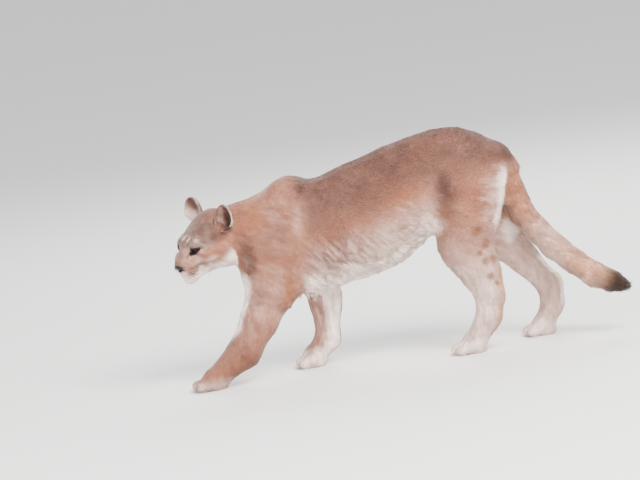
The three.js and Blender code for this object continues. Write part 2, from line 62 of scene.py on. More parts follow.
# The head's own axes: x forward, y to the animal's left, z up, from the point between the eyes
head_turn = math.radians(33.2)
head_nod = math.radians(15.7)
head_lean = math.radians(-8)
head_axes = Matrix.Rotation(math.pi + head_turn, 4, "Z") @ Matrix.Rotation(head_nod, 4, "Y")
head_axes = Matrix.Translation(placed(-420, -80, 443)) @ head_axes @ Matrix.Rotation(head_lean, 4, "X")
head_axes = head_axes @ Matrix.Scale(0.001, 4)
head_matrix = np.array(head_axes)
head_inverse = np.array(head_axes.inverted())
head_turning = head_matrix[:3, :3] * 1000


def to_head(points):
    return points @ head_inverse[:3, :3].T + head_inverse[:3, 3]


def from_head(points):
    return points @ head_matrix[:3, :3].T + head_matrix[:3, 3]


def to_source(points):
    return (points - shift) * 1000


# Centre lines of the legs and the tail, from the top down
limb_lines = {
    "fore_left": [(-128, -52, 545), (-222, -70, 430), (-200, -80, 285), (-250, -82, 192), (-308, -82, 104),
                  (-405, -84, 34), (-466, -86, 15)],
    "fore_right": [(-105, 52, 540), (-160, 70, 420), (-52, 80, 290), (-46, 82, 196), (-52, 80, 84),
                   (-100, 80, 34), (-146, 80, 15)],
    "hind_left": [(440, -48, 540), (412, -62, 430), (392, -70, 340), (427, -74, 248), (450, -76, 170),
                  (438, -76, 105), (386, -76, 36), (326, -76, 15)],
    "hind_right": [(438, 48, 540), (452, 64, 430), (500, 70, 335), (566, 76, 248), (640, 80, 150),
                   (642, 80, 92), (610, 80, 36), (556, 80, 15)],
    "tail": [(520, 0, 596), (554, -5, 549), (563, -13, 480), (582, -21, 397), (613, -29, 345),
             (657, -41, 287), (705, -55, 240), (758, -71, 194), (803, -84, 168), (840, -95, 151)],
}
limb_points = {name: np.array(line) * 0.001 + shift for name, line in limb_lines.items()}
leg_names = [name for name in limb_lines if name != "tail"]
tail_line = limb_points["tail"]

# Eyes, in the head's millimetres
eye_centres = {side: np.array([9.5, side * 34.0, -1.5]) for side in (-1, 1)}
eye_radius = 18.2
slit_reach = 16.8


def ramp(low, high, value):
    """From 0 at the low value to 1 at the high one."""
    t = np.clip((value - low) / (high - low), 0, 1)
    return t * t * (3 - 2 * t)


def fall(low, high, value):
    return 1 - ramp(low, high, value)


def hump(value, width):
    return np.exp(-(value / width) ** 2)


def spot(local, middle, reach):
    away = (local - np.array(middle)) / np.array(reach)
    return np.exp(-np.sum(away * away, axis=1))


def lengths(vectors):
    return np.linalg.norm(vectors, axis=1)


def unit(vectors):
    return vectors / np.maximum(np.linalg.norm(vectors, axis=-1, keepdims=True), 1e-9)


def lumps(points, size, seed):
    """Smooth noise from -1 to 1 at each point, its lumps about as large as size."""
    cells = np.asarray(points) / size + 31.7 * seed
    corner = np.floor(cells).astype(np.int64)
    part = cells - corner
    part = part * part * (3 - 2 * part)
    total = np.zeros(len(cells))
    for bits in range(8):
        step = np.array([bits & 1, bits >> 1 & 1, bits >> 2])
        key = (corner + step) * np.array([73856093, 19349663, 83492791])
        key = (key[:, 0] ^ key[:, 1] ^ key[:, 2]) + seed * 7919
        key = (key ^ (key >> 13)) * 1274126177 & 0xFFFFFFF
        total += np.prod(np.where(step, part, 1 - part), axis=1) * ((key ^ (key >> 11)) & 0xFFFF) / 0xFFFF
    return total * 2 - 1


def along_line(points, line):
    """Each point's nearest place on a centre line: how far along, the place, the direction, how far off."""
    best = np.full(len(points), np.inf)
    travel = np.zeros(len(points))
    place = np.zeros_like(points)
    direction = np.zeros_like(points)
    start = 0.0
    for a, b in zip(line[:-1], line[1:]):
        step = b - a
        length = np.linalg.norm(step)
        t = np.clip((points - a) @ step / length ** 2, 0, 1)
        nearest = a + t[:, None] * step
        away = lengths(points - nearest)
        closer = away < best
        best[closer] = away[closer]
        travel[closer] = start + t[closer] * length
        place[closer] = nearest[closer]
        direction[closer] = step / length
        start += length
    return travel, place, direction, best


def line_length(line):
    return np.sum(lengths(line[1:] - line[:-1]))


# Meshes and numbers
def read(items, field, size, kind=float):
    values = np.empty(len(items) * size, dtype=kind)
    items.foreach_get(field, values)
    return values.reshape(-1, size)


def write(items, field, values, kind=np.float32):
    items.foreach_set(field, np.ascontiguousarray(values, dtype=kind).ravel())


def points_of(mesh):
    return read(mesh.vertices, "co", 3)


def normals_of(mesh):
    return read(mesh.vertex_normals, "vector", 3)


def edges_of(mesh):
    return read(mesh.edges, "vertices", 2, np.int64)


def triangles_of(mesh):
    mesh.calc_loop_triangles()
    return read(mesh.loop_triangles, "vertices", 3, np.int64)


def set_points(mesh, points):
    write(mesh.vertices, "co", points)
    mesh.update()


def as_mesh(shape, name):
    mesh = bpy.data.meshes.new(name)
    shape.to_mesh(mesh)
    shape.free()
    return mesh


def softened(points, edges, times, amount):
    count = np.bincount(edges.ravel(), minlength=len(points))
    points = points.copy()
    for _ in range(times):
        for axis in range(3):
            ends = points[edges, axis]
            total = np.bincount(edges[:, 0], ends[:, 1], len(points))
            total += np.bincount(edges[:, 1], ends[:, 0], len(points))
            points[:, axis] += (total / count - points[:, axis]) * amount
    return points


def add_object(name, mesh):
    piece = bpy.data.objects.new(name, mesh)
    bpy.context.scene.collection.objects.link(piece)
    return piece


def applied(piece):
    """The mesh of a piece with its modifiers applied, in place of its own."""
    evaluated = piece.evaluated_get(bpy.context.evaluated_depsgraph_get())
    mesh = bpy.data.meshes.new_from_object(evaluated)
    piece.modifiers.clear()
    piece.data = mesh
    return mesh


def voxel_remeshed(piece, size):
    remesh = piece.modifiers.new("remesh", "REMESH")
    remesh.mode = "VOXEL"
    remesh.voxel_size = size
    return applied(piece)


# Skin: the solids swollen into one body, with finer faces on the head and paws
skin_voxel = 0.0078
skin_clearance = 0.0008
swelling = 0.0008


def joined_flesh():
    shape = bmesh.new()
    for name in nodes:
        if not name.startswith("ear"):
            shape.from_mesh(nodes[name].data)
    bmesh.ops.remove_doubles(shape, verts=shape.verts, dist=1e-5)
    shape.normal_update()
    for vertex in shape.verts:
        vertex.co += vertex.normal * swelling
    return as_mesh(shape, "skin")


def refine(mesh, chosen):
    """Splits the faces whose middle the test chooses in four."""
    shape = bmesh.new()
    shape.from_mesh(mesh)
    middles = np.array([face.calc_center_median() for face in shape.faces])
    wanted = chosen(middles)
    picked = {edge.index for face, keep in zip(shape.faces, wanted) if keep for edge in face.edges}
    edges = [edge for edge in shape.edges if edge.index in picked]
    bmesh.ops.subdivide_edges(shape, edges=edges, cuts=1, use_grid_fill=True)
    shape.to_mesh(mesh)
    shape.free()


def in_head(points):
    return (to_head(points)[:, 0] > -112) & (points[:, 0] < shift[0] - 0.30) & (points[:, 2] > 0.30)


def on_face(points):
    x, y, _ = to_head(points).T
    return in_head(points) & (x > -14) & (np.abs(y) < 62)


def on_features(points):
    """Places close to the eyes, the nose and the line of the mouth."""
    local = to_head(points)
    x, _, z = local.T
    near_eye = np.minimum(*(lengths(local - eye_centres[side]) for side in (-1, 1))) < 26
    near_mouth = (np.abs(z + 72) < 9) & (x > 16)
    return in_head(points) & (near_eye & (x > 8) | near_mouth | (x > 56))


def on_paw(points):
    return points[:, 2] < 0.062


def on_toes(points):
    x, y, z = points.T
    chosen = np.zeros(len(points), dtype=bool)
    for name in leg_names:
        knuckle, tip = limb_points[name][-2:]
        chosen |= (x < knuckle[0] + 0.012) & (x > tip[0] - 0.05) & (np.abs(y - tip[1]) < 0.06) & (z < 0.052)
    return chosen


def snapped(points, chosen, tree):
    """Chosen points moved to the nearest place on the surface of a tree."""
    moved = points.copy()
    for index in np.nonzero(chosen)[0]:
        moved[index] = tree.find_nearest(points[index].tolist())[0]
    return moved


skin = add_object("skin", joined_flesh())
flesh_tree = BVHTree.FromPolygons([vertex.co for vertex in skin.data.vertices],
                                  [polygon.vertices for polygon in skin.data.polygons])
voxel_remeshed(skin, skin_voxel)
refine(skin.data, lambda points: in_head(points) | on_paw(points))
refine(skin.data, on_face)
refine(skin.data, lambda points: on_features(points) | on_toes(points))
body_points = points_of(skin.data)
body_edges = edges_of(skin.data)
body_points = snapped(body_points, on_face(body_points) | on_toes(body_points), flesh_tree)
fine = in_head(body_points).astype(float)
pawlike = 1 - ramp(0.05, 0.09, body_points[:, 2])
body_points = softened(body_points, body_edges, 14, 0.5 * (1 - fine) * (1 - pawlike))
body_points = softened(body_points, body_edges, 5, 0.5 * np.maximum(fine, pawlike))
set_points(skin.data, body_points)

# Forms of muscle and bone under the coat, on both sides: middle, reach along x, y and z, and height
body_forms = [
    ((-148, 96, 470), (34, 60, 90), 5),
    ((-96, 108, 440), (22, 60, 110), -6),
    ((-215, 108, 410), (40, 60, 60), 4),
    ((-120, 110, 330), (26, 60, 50), -4),
    ((-40, 100, 560), (90, 60, 30), -3),
    ((150, 100, 590), (110, 60, 30), -3),
    ((300, 96, 450), (38, 60, 90), -9),
    ((362, 100, 500), (40, 60, 70), 4),
    ((430, 100, 440), (60, 60, 70), 4),
    ((500, 90, 480), (22, 60, 90), -4),
    ((60, 110, 380), (90, 60, 60), 3),
    ((536, 30, 628), (34, 60, 34), -4.5),
    ((478, 30, 660), (34, 60, 30), 2),
]


def trunk_level(x, z):
    """Height on the trunk, from 0 along the belly to 1 along the back, and the belly's height."""
    stations = np.arange(-280, 540, 80)
    belly = np.interp(x, stations, [282, 250, 243, 246, 264, 278, 304, 340, 370, 412, 490])
    back = np.interp(x, stations, [500, 562, 606, 588, 609, 631, 655, 675, 683, 674, 628])
    return (z - belly) / (back - belly), belly


def turned(points, slope):
    """Places along and across a line in the side view that slopes down by an angle."""
    along = points[:, 0] * np.cos(slope) - points[:, 2] * np.sin(slope)
    across = points[:, 0] * np.sin(slope) + points[:, 2] * np.cos(slope)
    return along, across


def partings(points, normals):
    """Lines where the hair parts in folds, from 0 to 1: behind the elbow and, fainter, along the belly. The
    skin is sunk along them, and the coat is painted darker there as shade in the folds.
    """
    x, _, z = to_source(points).T
    along, across = turned(points, 0.95)
    stretched = np.stack([along / 4, points[:, 1] / 2, across], axis=1)
    lines = np.maximum(hump(lumps(stretched, 0.017, 3), 0.2), 0.7 * hump(lumps(stretched, 0.009, 4), 0.24))
    elbow = hump(x - 10, 115) * hump(z - 378, 72)
    under = 0.62 * fall(0.2, 0.5, trunk_level(x, z)[0]) * ramp(-130, -70, x) * fall(280, 350, x)
    return lines * np.maximum(elbow, under) * ramp(0.2, 0.7, np.abs(normals[:, 1])) * (z > 225)


def sculpt_body(points, normals):
    local = to_source(points)
    x, y, _ = local.T
    rise = np.zeros(len(points))
    for middle, reach, height in body_forms:
        for side in (-1, 1):
            rise += height * spot(local, np.array(middle) * (1, side, 1), reach)
    spine = hump(y, 12) * ramp(-60, 40, x) * fall(420, 500, x)
    rise -= 2.5 * (hump(y - 22, 12) + hump(y + 22, 12) - spine) * np.clip(normals[:, 2], 0, 1) ** 2
    rise -= 2.6 * partings(points, normals)
    rise *= ~(in_head(points) | (points[:, 2] < 0.1))
    return points + normals * rise[:, None] * 0.001


def coat_depth(points):
    """How far the skin lies inside the solids, in metres."""
    x, _, z = to_source(points).T
    under = fall(250, 340, z) * ramp(222, 232, z) * ramp(-180, -100, x) * fall(330, 380, x)
    tail = fall(0.045, 0.06, along_line(points, tail_line[2:])[3])
    depth = 2.8 + 3.0 * under + 3.2 * tail - 0.6 * fall(220, 330, z) * (x < 600)
    depth = np.where(in_head(points), 2.8 - 1.5 * ramp(-90, -10, to_head(points)[:, 0]), depth)
    return np.where(z < 90, 1.8 + (depth - 1.8) * ramp(30, 90, z), depth) * 0.001


body_points = sculpt_body(points_of(skin.data), normals_of(skin.data))
set_points(skin.data, body_points)
sole = body_points[:, 2] < 0.004
body_points = body_points - normals_of(skin.data) * coat_depth(body_points)[:, None]
body_points[sole, 2] = np.maximum(body_points[sole, 2], 0.0) * 0.3
body_points[:, 2] = np.maximum(body_points[:, 2], skin_clearance)
body_points = softened(body_points, body_edges, 2, 0.4)
set_points(skin.data, body_points)


# Paws: grooves between the toes, and a step behind them
def sculpt_paws(points, normals):
    moved = points.copy()
    x, y, z = points.T
    for name in leg_names:
        knuckle, tip = limb_points[name][-2:]
        width = 0.092 if name.startswith("fore") else 0.084
        forward = (knuckle[0] - x) / (knuckle[0] - tip[0])
        aside = (y - knuckle[1]) / width * (1.06 - 0.08 * forward)
        near = (np.abs(x - (knuckle[0] + tip[0]) / 2) < 0.09) & (np.abs(aside) < 0.8) & (z < 0.075)
        groove = sum(hump(aside - place, 0.032) for place in (-0.24, 0.0, 0.24))
        toe = np.abs(np.sin(aside * math.pi / 0.24))
        strength = ramp(-0.1, 0.5, forward) * near * ramp(-0.9, -0.2, normals[:, 2])
        top = near * np.clip(normals[:, 2], 0, 1) * toe
        arch = 2.2 * hump(forward - 0.35, 0.2) - 1.2 * hump(forward - 0.78, 0.14)
        moved += normals * (((1.0 * toe - 4.4 * groove) * strength + arch * top) * 0.001)[:, None]
    moved[:, 2] = np.maximum(moved[:, 2], skin_clearance)
    return moved


set_points(skin.data, sculpt_paws(points_of(skin.data), normals_of(skin.data)))


# Head: lids round the eyes, brows, the line of the mouth, lips, the groove under the nose and the cheeks
def slit_edge(across, reach, lean):
    """Height of a lid's edge at each place across the eye, which slants up to its outer corner."""
    share = np.clip(across / slit_reach, -1, 1)
    return 6 * share - 1 + reach * (1 - share ** 2) ** 0.7 * (1 - lean * share)


def eye_frame(side):
    gaze = unit(np.array([0.9, side * 0.44, 0.1]))
    outward = unit(np.cross((0, 0, 1), gaze)) * side
    upright = np.cross(gaze, outward * side)
    return gaze, outward, upright


def eye_place(local, side):
    """Distance past the edge of the eye's opening, and places across, up and out of the eye."""
    offset = local - eye_centres[side]
    across, height, depth = (offset @ axis for axis in eye_frame(side)[1:] + eye_frame(side)[:1])
    upper = slit_edge(across, 8.2, 0.7)
    lower = slit_edge(across, -5.8, 0.2)
    vertical = np.maximum(height - upper, lower - height) * 0.85
    past = np.maximum(np.abs(across) - slit_reach, 0)
    corner = np.where(across > 0, 5, -7)
    distance = np.where(past > 0, np.hypot(past, height - corner), vertical)
    return np.where(depth < -4, 40, distance), across, height, depth


def mouth_place(local):
    """Height above the line of the mouth, how much of it there is there, and the angle round the muzzle."""
    x, y, z = local.T
    angle = np.arctan2(y, x - 12)
    line = -67 - 12 * np.sin(np.minimum(1.7 * np.abs(angle), math.pi / 2))
    return z - line, fall(1.15, 1.35, np.abs(angle)) * (x > 4), angle


def nose_measure(local):
    """Below 1 under the bare pad of the nose, and above it outside: broad at the top, narrow at the lip."""
    x, y, z = (local - (64, 0, -45)).T
    wide = 20.5 - 10.5 * fall(-11, 1, z)
    return (y / wide) ** 2 + (z / 12.5) ** 2 + (np.minimum(x, 0) / 10) ** 2


ear_tall, ear_wide, ear_deep = 104.0, 31.0, 20.0


def ear_axes(side):
    base = np.array([-80, side * 72, 24.0])
    rise = np.array([-99, side * 86, 105.0]) - base
    upright = unit(rise)
    facing = (0.97, 0.22, 0) if side > 0 else (0.9, 0.42, 0)
    sideways = unit(np.cross(upright, facing))
    opening = np.cross(sideways, upright)
    return base - 24 * upright, opening, sideways * side, upright


def sculpt_face(points):
    local = to_head(points)
    chosen = in_head(points)
    for side in (-1, 1):
        distance, across, height, depth = eye_place(local, side)
        offset = local - eye_centres[side]
        reach = lengths(offset)
        lid = eye_radius + 1.5
        keep = ramp(2.5, 10, distance)
        target = lid + (np.maximum(reach, lid) - lid) * keep
        above = ramp(-1, 4, height)
        target -= 0.7 * hump(distance - 4.6, 1.2) * above
        target += 4.0 * hump(distance - 9, 4.5) * above * fall(8, 24, across)
        inner = np.clip((0.3 - distance) / 1.4, 0, 1)
        target = np.where(distance < 0.3, lid + (eye_radius - 4.5 - lid) * inner, target)
        tear = hump(height + 7.5 + 0.8 * (across + slit_reach), 1.8) * hump(across + slit_reach + 4, 5)
        target -= 0.9 * tear * (distance > 0.3)
        share = ramp(-3, 8, depth) * fall(20, 26, distance) * (reach < 48) * chosen
        local = local + unit(offset) * ((target - reach) * share)[:, None]
    # x, y and z are views of the places, so a change to one of them moves the places
    x, y, z = local.T
    above, strength, angle = mouth_place(local)
    outward = np.stack([np.cos(angle), np.sin(angle), np.zeros(len(angle))], axis=1)
    push = -4.0 * hump(above, 1.5) + 1.8 * hump(above - 4.8, 3.2) + 1.0 * hump(above + 4.8, 3.0)
    local += outward * (push * strength * chosen)[:, None]
    groove = hump(y, 1.3) * ramp(-71, -67, z) * fall(-57, -54, z)
    x -= 2.6 * groove * (x > 40) * chosen
    x -= 9.0 * fall(0.6, 1.15, nose_measure(local)) * (x > 50) * chosen
    side_pad = spot(local * (1, 0, 1), (48, 0, -56), (16, 1, 12)) * ramp(16, 36, np.abs(y))
    y += np.sign(y) * 2.6 * side_pad * chosen
    y += np.sign(y) * 2.5 * hump(np.abs(y) - 62, 22) * hump(x + 62, 30) * hump(z + 58, 24) * chosen
    for side in (-1, 1):
        base, opening, outward, upright = ear_axes(side)
        place = base + 34 * upright + 14 * opening + 3 * outward
        local -= (opening * 5 + upright * 2) * (spot(local, place, (10, 9, 14)) * chosen)[:, None]
    return np.where(chosen[:, None], from_head(local), points)


set_points(skin.data, sculpt_face(points_of(skin.data)))


# Ears: a leaf rolled into a cup on each side, closed to a tube at its base and open to its round tip
def ear_width(t):
    low = 0.46 + 0.54 * ramp(0.0, 0.58, t)
    round_tip = np.clip(1 - np.clip((t - 0.5) / 0.5, 0, 1) ** 2.2, 0, 1) ** 0.5
    return low * round_tip


def add_ear(shape, side):
    base, opening, outward, upright = ear_axes(side)
    made = bmesh.ops.create_grid(shape, x_segments=34, y_segments=34, size=1)["verts"]
    for vertex in made:
        t = math.sin((vertex.co.y + 1) * math.pi / 4)
        width = float(ear_width(t))
        angle = vertex.co.x * math.radians(140 - 56 * float(ramp(0.1, 0.75, t)))
        aside = math.sin(angle) * ear_wide * width
        depth = (0.3 - math.cos(angle)) * ear_deep * width * (1 - 0.35 * t * t)
        fold = -12.0 * float(ramp(0.3, 1, vertex.co.x)) * float(hump(t - 0.2, 0.2))
        sunk = 1 - float(ramp(0.0, 0.45, t))
        place = base + upright * (t * ear_tall) + outward * (aside + fold - 19 * sunk)
        place = place + opening * (depth - 5 - 11 * sunk + 7 * t)
        vertex.co = Vector(from_head(place[None])[0])
    bmesh.ops.remove_doubles(shape, verts=shape.verts, dist=0.00005)
    shape.normal_update()
    bmesh.ops.solidify(shape, geom=shape.faces, thickness=0.0026)
    bmesh.ops.triangulate(shape, faces=shape.faces)
    if shape.calc_volume(signed=True) < 0:
        bmesh.ops.reverse_faces(shape, faces=shape.faces)


body_count = len(skin.data.vertices)
whole = bmesh.new()
whole.from_mesh(skin.data)
for side in (-1, 1):
    ear_shape = bmesh.new()
    add_ear(ear_shape, side)
    whole.from_mesh(as_mesh(ear_shape, "ear"))
bmesh.ops.triangulate(whole, faces=whole.faces)
whole.to_mesh(skin.data)
whole.free()
skin.data.shade_smooth()

# Which part of the body each place of the skin belongs to
part_names = sorted(nodes)
corners, triangles, owners = [], [], []
for index, name in enumerate(part_names):
    node_triangles = triangles_of(nodes[name].data)
    triangles += (node_triangles + len(corners)).tolist()
    corners += points_of(nodes[name].data).tolist()
    owners += [index] * len(node_triangles)
solid_tree = BVHTree.FromPolygons(corners, triangles)


def part_of(points):
    return np.array([owners[solid_tree.find_nearest(point)[2]] for point in points.tolist()])


# The lie of the coat: back from the nose, along the trunk and the tail, and down the legs
def coat_lie(points, normals, ear_mask):
    x, _, z = to_source(points).T
    lie = np.zeros_like(points)
    lie[:, 0] = 1
    fall_away = 0.5 * ramp(0.3, 0.9, np.abs(normals[:, 1])) * fall(60, 260, x)
    lie[:, 2] = -0.22 - fall_away + 0.25 * ramp(0.5, 0.9, normals[:, 2])
    lie[:, 2] -= 0.75 * hump(x - 20, 130) * fall(400, 470, z)
    lie[:, 2] -= 0.5 * fall(-300, -200, x) * ramp(0.0, 0.6, -normals[:, 0])
    lie = unit(lie)
    for name, line in limb_points.items():
        if name == "tail":
            _, _, direction, away = along_line(points, line)
            share = fall(0.045, 0.065, away) * (x > 530)
        else:
            _, _, direction, away = along_line(points, line[1:])
            share = fall(0.07, 0.11, away) * fall(0.26, 0.42, points[:, 2])
        lie = lie * (1 - share[:, None]) + direction * share[:, None]
    local = to_head(points)
    x, _, z = local.T
    radial = unit((local - (92, 0, -46)) * (1.2, 1, 1))
    radial[:, 2] -= 0.25 * fall(-70, -10, z) + 0.5 * hump(x + 60, 40) * fall(-62, -40, z)
    share = (in_head(points) * ramp(-125, -70, x))[:, None]
    lie = lie * (1 - share) + radial @ head_turning.T * share
    for side in (-1, 1):
        _, _, outward, upright = ear_axes(side)
        mine = ear_mask & (local[:, 1] * side > 0)
        lie[mine] = head_turning @ (upright * 0.9 + outward * 0.25)
    return unit(lie - normals * np.sum(lie * normals, axis=1, keepdims=True))


# Markings: how pale, dark, warm and brown each place of the coat is, from 0 to 1
class Shades:
    """The shades of each place. In a mask, lift raises them to an amount, cut lowers and lay covers them."""

    def __init__(self, count):
        self.pale, self.dark, self.warm, self.brown = np.zeros((4, count))

    def change(self, work, amounts):
        for shade, amount in amounts.items():
            setattr(self, shade, work(getattr(self, shade), amount))

    def lift(self, mask=1, **amounts):
        self.change(lambda old, amount: np.maximum(old, amount * mask), amounts)

    def cut(self, mask, **amounts):
        self.change(lambda old, amount: old * (1 - amount * mask), amounts)

    def lay(self, mask, **amounts):
        self.change(lambda old, amount: old * (1 - mask) + amount * mask, amounts)


def mark_body(points, normals, fur):
    local = to_source(points)
    x, y, z = local.T

    def patch_at(middle_x, middle_z, wide, tall):
        return np.exp(-((x - middle_x) / wide) ** 2 - ((z - middle_z) / tall) ** 2)

    wander = lumps(points, 0.05, 11) * 0.5 + lumps(points, 0.02, 12) * 0.25
    mottle = lumps(points, 0.034, 14) * 0.6 + lumps(points, 0.013, 15) * 0.4
    ragged = streak_of(points)
    outer = np.where(y < 0, -normals[:, 1], normals[:, 1])
    outside = ramp(-0.3, 0.2, outer)
    front = -normals[:, 0]
    body = ~in_head(points)
    legs = [along_line(points, limb_points[name][1:])[3] for name in leg_names]
    off_leg = 1 - fall(0.075, 0.115, np.min(legs, axis=0)) * ramp(-0.1, 0.4, outer)

    # Trunk: pale along the belly, tawny on the side and brown along the back
    level, belly = trunk_level(x, z)
    level = level + 0.05 * wander + 0.10 * ragged
    trunk = (z > 0.86 * belly) & body & (x < 560)
    middle = off_leg * fall(350, 410, x)
    # The lines where the hair parts are painted as shade: less pale and browner.
    parting_shade = partings(points, normals)
    fur.lift(pale=0.97 * fall(0.08, 0.32, level) * ramp(-0.12, -0.04, level) * middle)
    fur.lift(pale=0.44 * fall(0.24, 0.62, level) * ramp(-150, -40, x) * middle)
    # The patch at x -108 is a painted highlight: the lit band down the shoulder.
    for place, amount in (((240, 458, 62, 38), 0.30), ((-172, 500, 60, 100), 0.13),
                          ((-108, 478, 24, 66), 0.21), ((310, 402, 28, 34), 0.62)):
        fur.lift(patch_at(*place), pale=amount)
    fur.pale *= trunk * (1 - 0.75 * parting_shade)
    fur.lift(brown=0.8 * ramp(0.38, 0.76, level) * ramp(-118, -62, x) + 0.2 * mottle * (z > 330))
    # Painted shadow in the hollow before the thigh: browner and much less pale; the brown patch above it
    # carries the shade up over the hip.
    hip_hollow_shadow = patch_at(346, 520, 38, 84) * trunk
    fur.lift(hip_hollow_shadow, brown=0.92)
    fur.cut(hip_hollow_shadow, pale=0.85)
    fur.lift(patch_at(322, 590, 34, 90), brown=0.75)
    # A brown line behind the shoulder: painted shade of the crease there.
    fur.lift(hump(x + 66 + 0.12 * (z - 507), 16) * hump(z - 508, 90), brown=0.66)
    fur.lift(patch_at(-185, 425, 60, 90), brown=0.34 + 0.3 * mottle)
    fur.brown *= trunk
    fur.lift(parting_shade, brown=0.75 + 0.25 * ramp(0.2, 0.5, level))
    fur.lift(patch_at(-238, 512, 38, 52), warm=0.6)
    fur.lift(patch_at(225, 500, 60, 30), warm=0.5)
    # Behind the cheek and down the side of the neck: painted shade, brown with a little warm and pale.
    fur.lift(patch_at(-264, 392, 26, 66) * body * ramp(315, 345, z), warm=0.12, brown=1, pale=0.13)
    fur.lift(patch_at(-150, 272, 22, 54) * outside, warm=0.95, brown=0.45)
    fur.lift(ramp(0.25, 0.75, front) * fall(330, 400, z) * (x < -150) * (z > 200) * off_leg, pale=0.8)
    fore = (x < 60) * ramp(110, 200, z) * fall(330, 400, z) * body
    fur.lift(fore * ramp(-0.2, 0.3, outer), pale=0.16 + 0.05 * mottle)
    shin = ramp(0.45, 0.85, front) * ramp(110, 190, z) * fall(320, 370, z)
    fur.lift(shin * (x < -215) * body, pale=0.85)
    fur.lift(patch_at(-82, 572, 32, 30) * trunk, brown=0.9)
    fur.lift(ramp(0.05, 0.5, mottle) * patch_at(-220, 300, 60, 90), brown=0.4)
    fur.lift(patch_at(-300, 130, 50, 70) * (outer > -0.3), brown=0.42)

    # Legs: pale inside and below, a soft white fringe down the back of the thigh, spots on the hind legs
    leg = (z < 400) & body & (x < 700)
    hind = ramp(0, 50, x - np.interp(z, (370, 440), (275, 330)))
    behind = np.where(x < 330, ramp(-0.7, 0.7, normals[:, 0] + 0.3 * ragged), 0.22)
    fur.lift(leg * ramp(0.1, 0.6, -outer) * fall(330, 400, z), pale=0.2 + 0.66 * behind)
    fur.lift(body * hind * fall(190, 520, z + 30 * wander + 40 * ragged) * (x < 700), pale=0.44)
    fur.lift(leg * (x < -230) * fall(14, 60, z + 16 * wander), pale=0.4)
    fur.lift(leg * (x >= -230) * fall(24, 90, z + 22 * wander), pale=0.66)
    near_edge = np.interp(z, (240, 300, 381, 412, 487, 562, 610), (484, 488, 492, 498, 514, 530, 540))
    far_edge = np.interp(z, (300, 400, 480, 560, 610), (604, 556, 536, 540, 548))
    past = x - np.where(y < 0, near_edge, far_edge) + 6 * wander + 6 * ragged
    fringe = np.maximum(ramp(-46, 6, past) ** 1.4, 0.4 * ramp(-105, -5, past))
    fringe *= ramp(250, 420, z) * fall(500, 590, z) * (x < 640)
    pocket = spot(local, (530, 40, 345), (34, 60, 44)) * ramp(0.0, 0.5, -outer)
    heel = leg * hind * ramp(0.3, 0.8, normals[:, 0]) * ramp(60, 110, z) * fall(230, 290, z)
    fur.lift(heel * outside, warm=0.85, brown=0.35)
    fur.lift(heel * ramp(0.0, 0.4, -outer), pale=0.9)
    wavy = local * (1, 0, 1) + 9 * wander[:, None]
    for dot_x, dot_z, size in ((461, 445, 12), (470, 403, 10), (423, 376, 11), (446, 338, 10), (467, 292, 9),
                               (444, 289, 8), (428, 315, 7), (486, 330, 7), (452, 240, 8), (470, 214, 7)):
        dot = spot(wavy, (dot_x, 0, dot_z), (1.5 * size, 12, 1.5 * size))
        dot = ramp(0.05, 0.95, dot * (1 + 0.4 * ragged)) * (outer > -0.2)
        fur.lift(dot, brown=0.72, warm=0.4)
        fur.cut(dot, pale=0.6)
    spotted = hind * ramp(120, 180, z) * fall(400, 470, z) * (outer > -0.3)
    fur.lift(ramp(0.25, 0.7, lumps(points, 0.013, 21)) * spotted, brown=0.4)
    fur.lift(spotted * ramp(260, 330, z), warm=0.12)
    fur.lift(np.maximum(fringe, pocket), pale=0.92)

    # Tail: tawny, warmer at its root and along its top, browner along its underside as painted shade, with a
    # dark tip
    travel, _, _, away = along_line(points, tail_line)
    tail = fall(0.046, 0.056, away) * ramp(0.03, 0.08, travel)
    under = ramp(-0.2, 0.7, -normals[:, 2])
    root = fall(0.12, 0.32, travel)
    fur.lay(tail, pale=0.34 + 0.05 * under - 0.20 * root + 0.02 * wander,
               warm=0.34 * root + 0.25 * (1 - under) + 0.4 * ramp(0.34, 0.44, travel),
               brown=0.15 * under + 0.3 * root * under + 0.1 * mottle)
    fur.warm *= body | (tail > 0)
    tip = line_length(tail_line) - travel - 0.014 * wander - 0.012 * ragged
    fur.lift(tail * fall(0.03, 0.098, tip), dark=0.93)
    # Darker still at the middle of the painted shadow before the thigh.
    fur.lift(hip_hollow_shadow ** 3, dark=0.24)


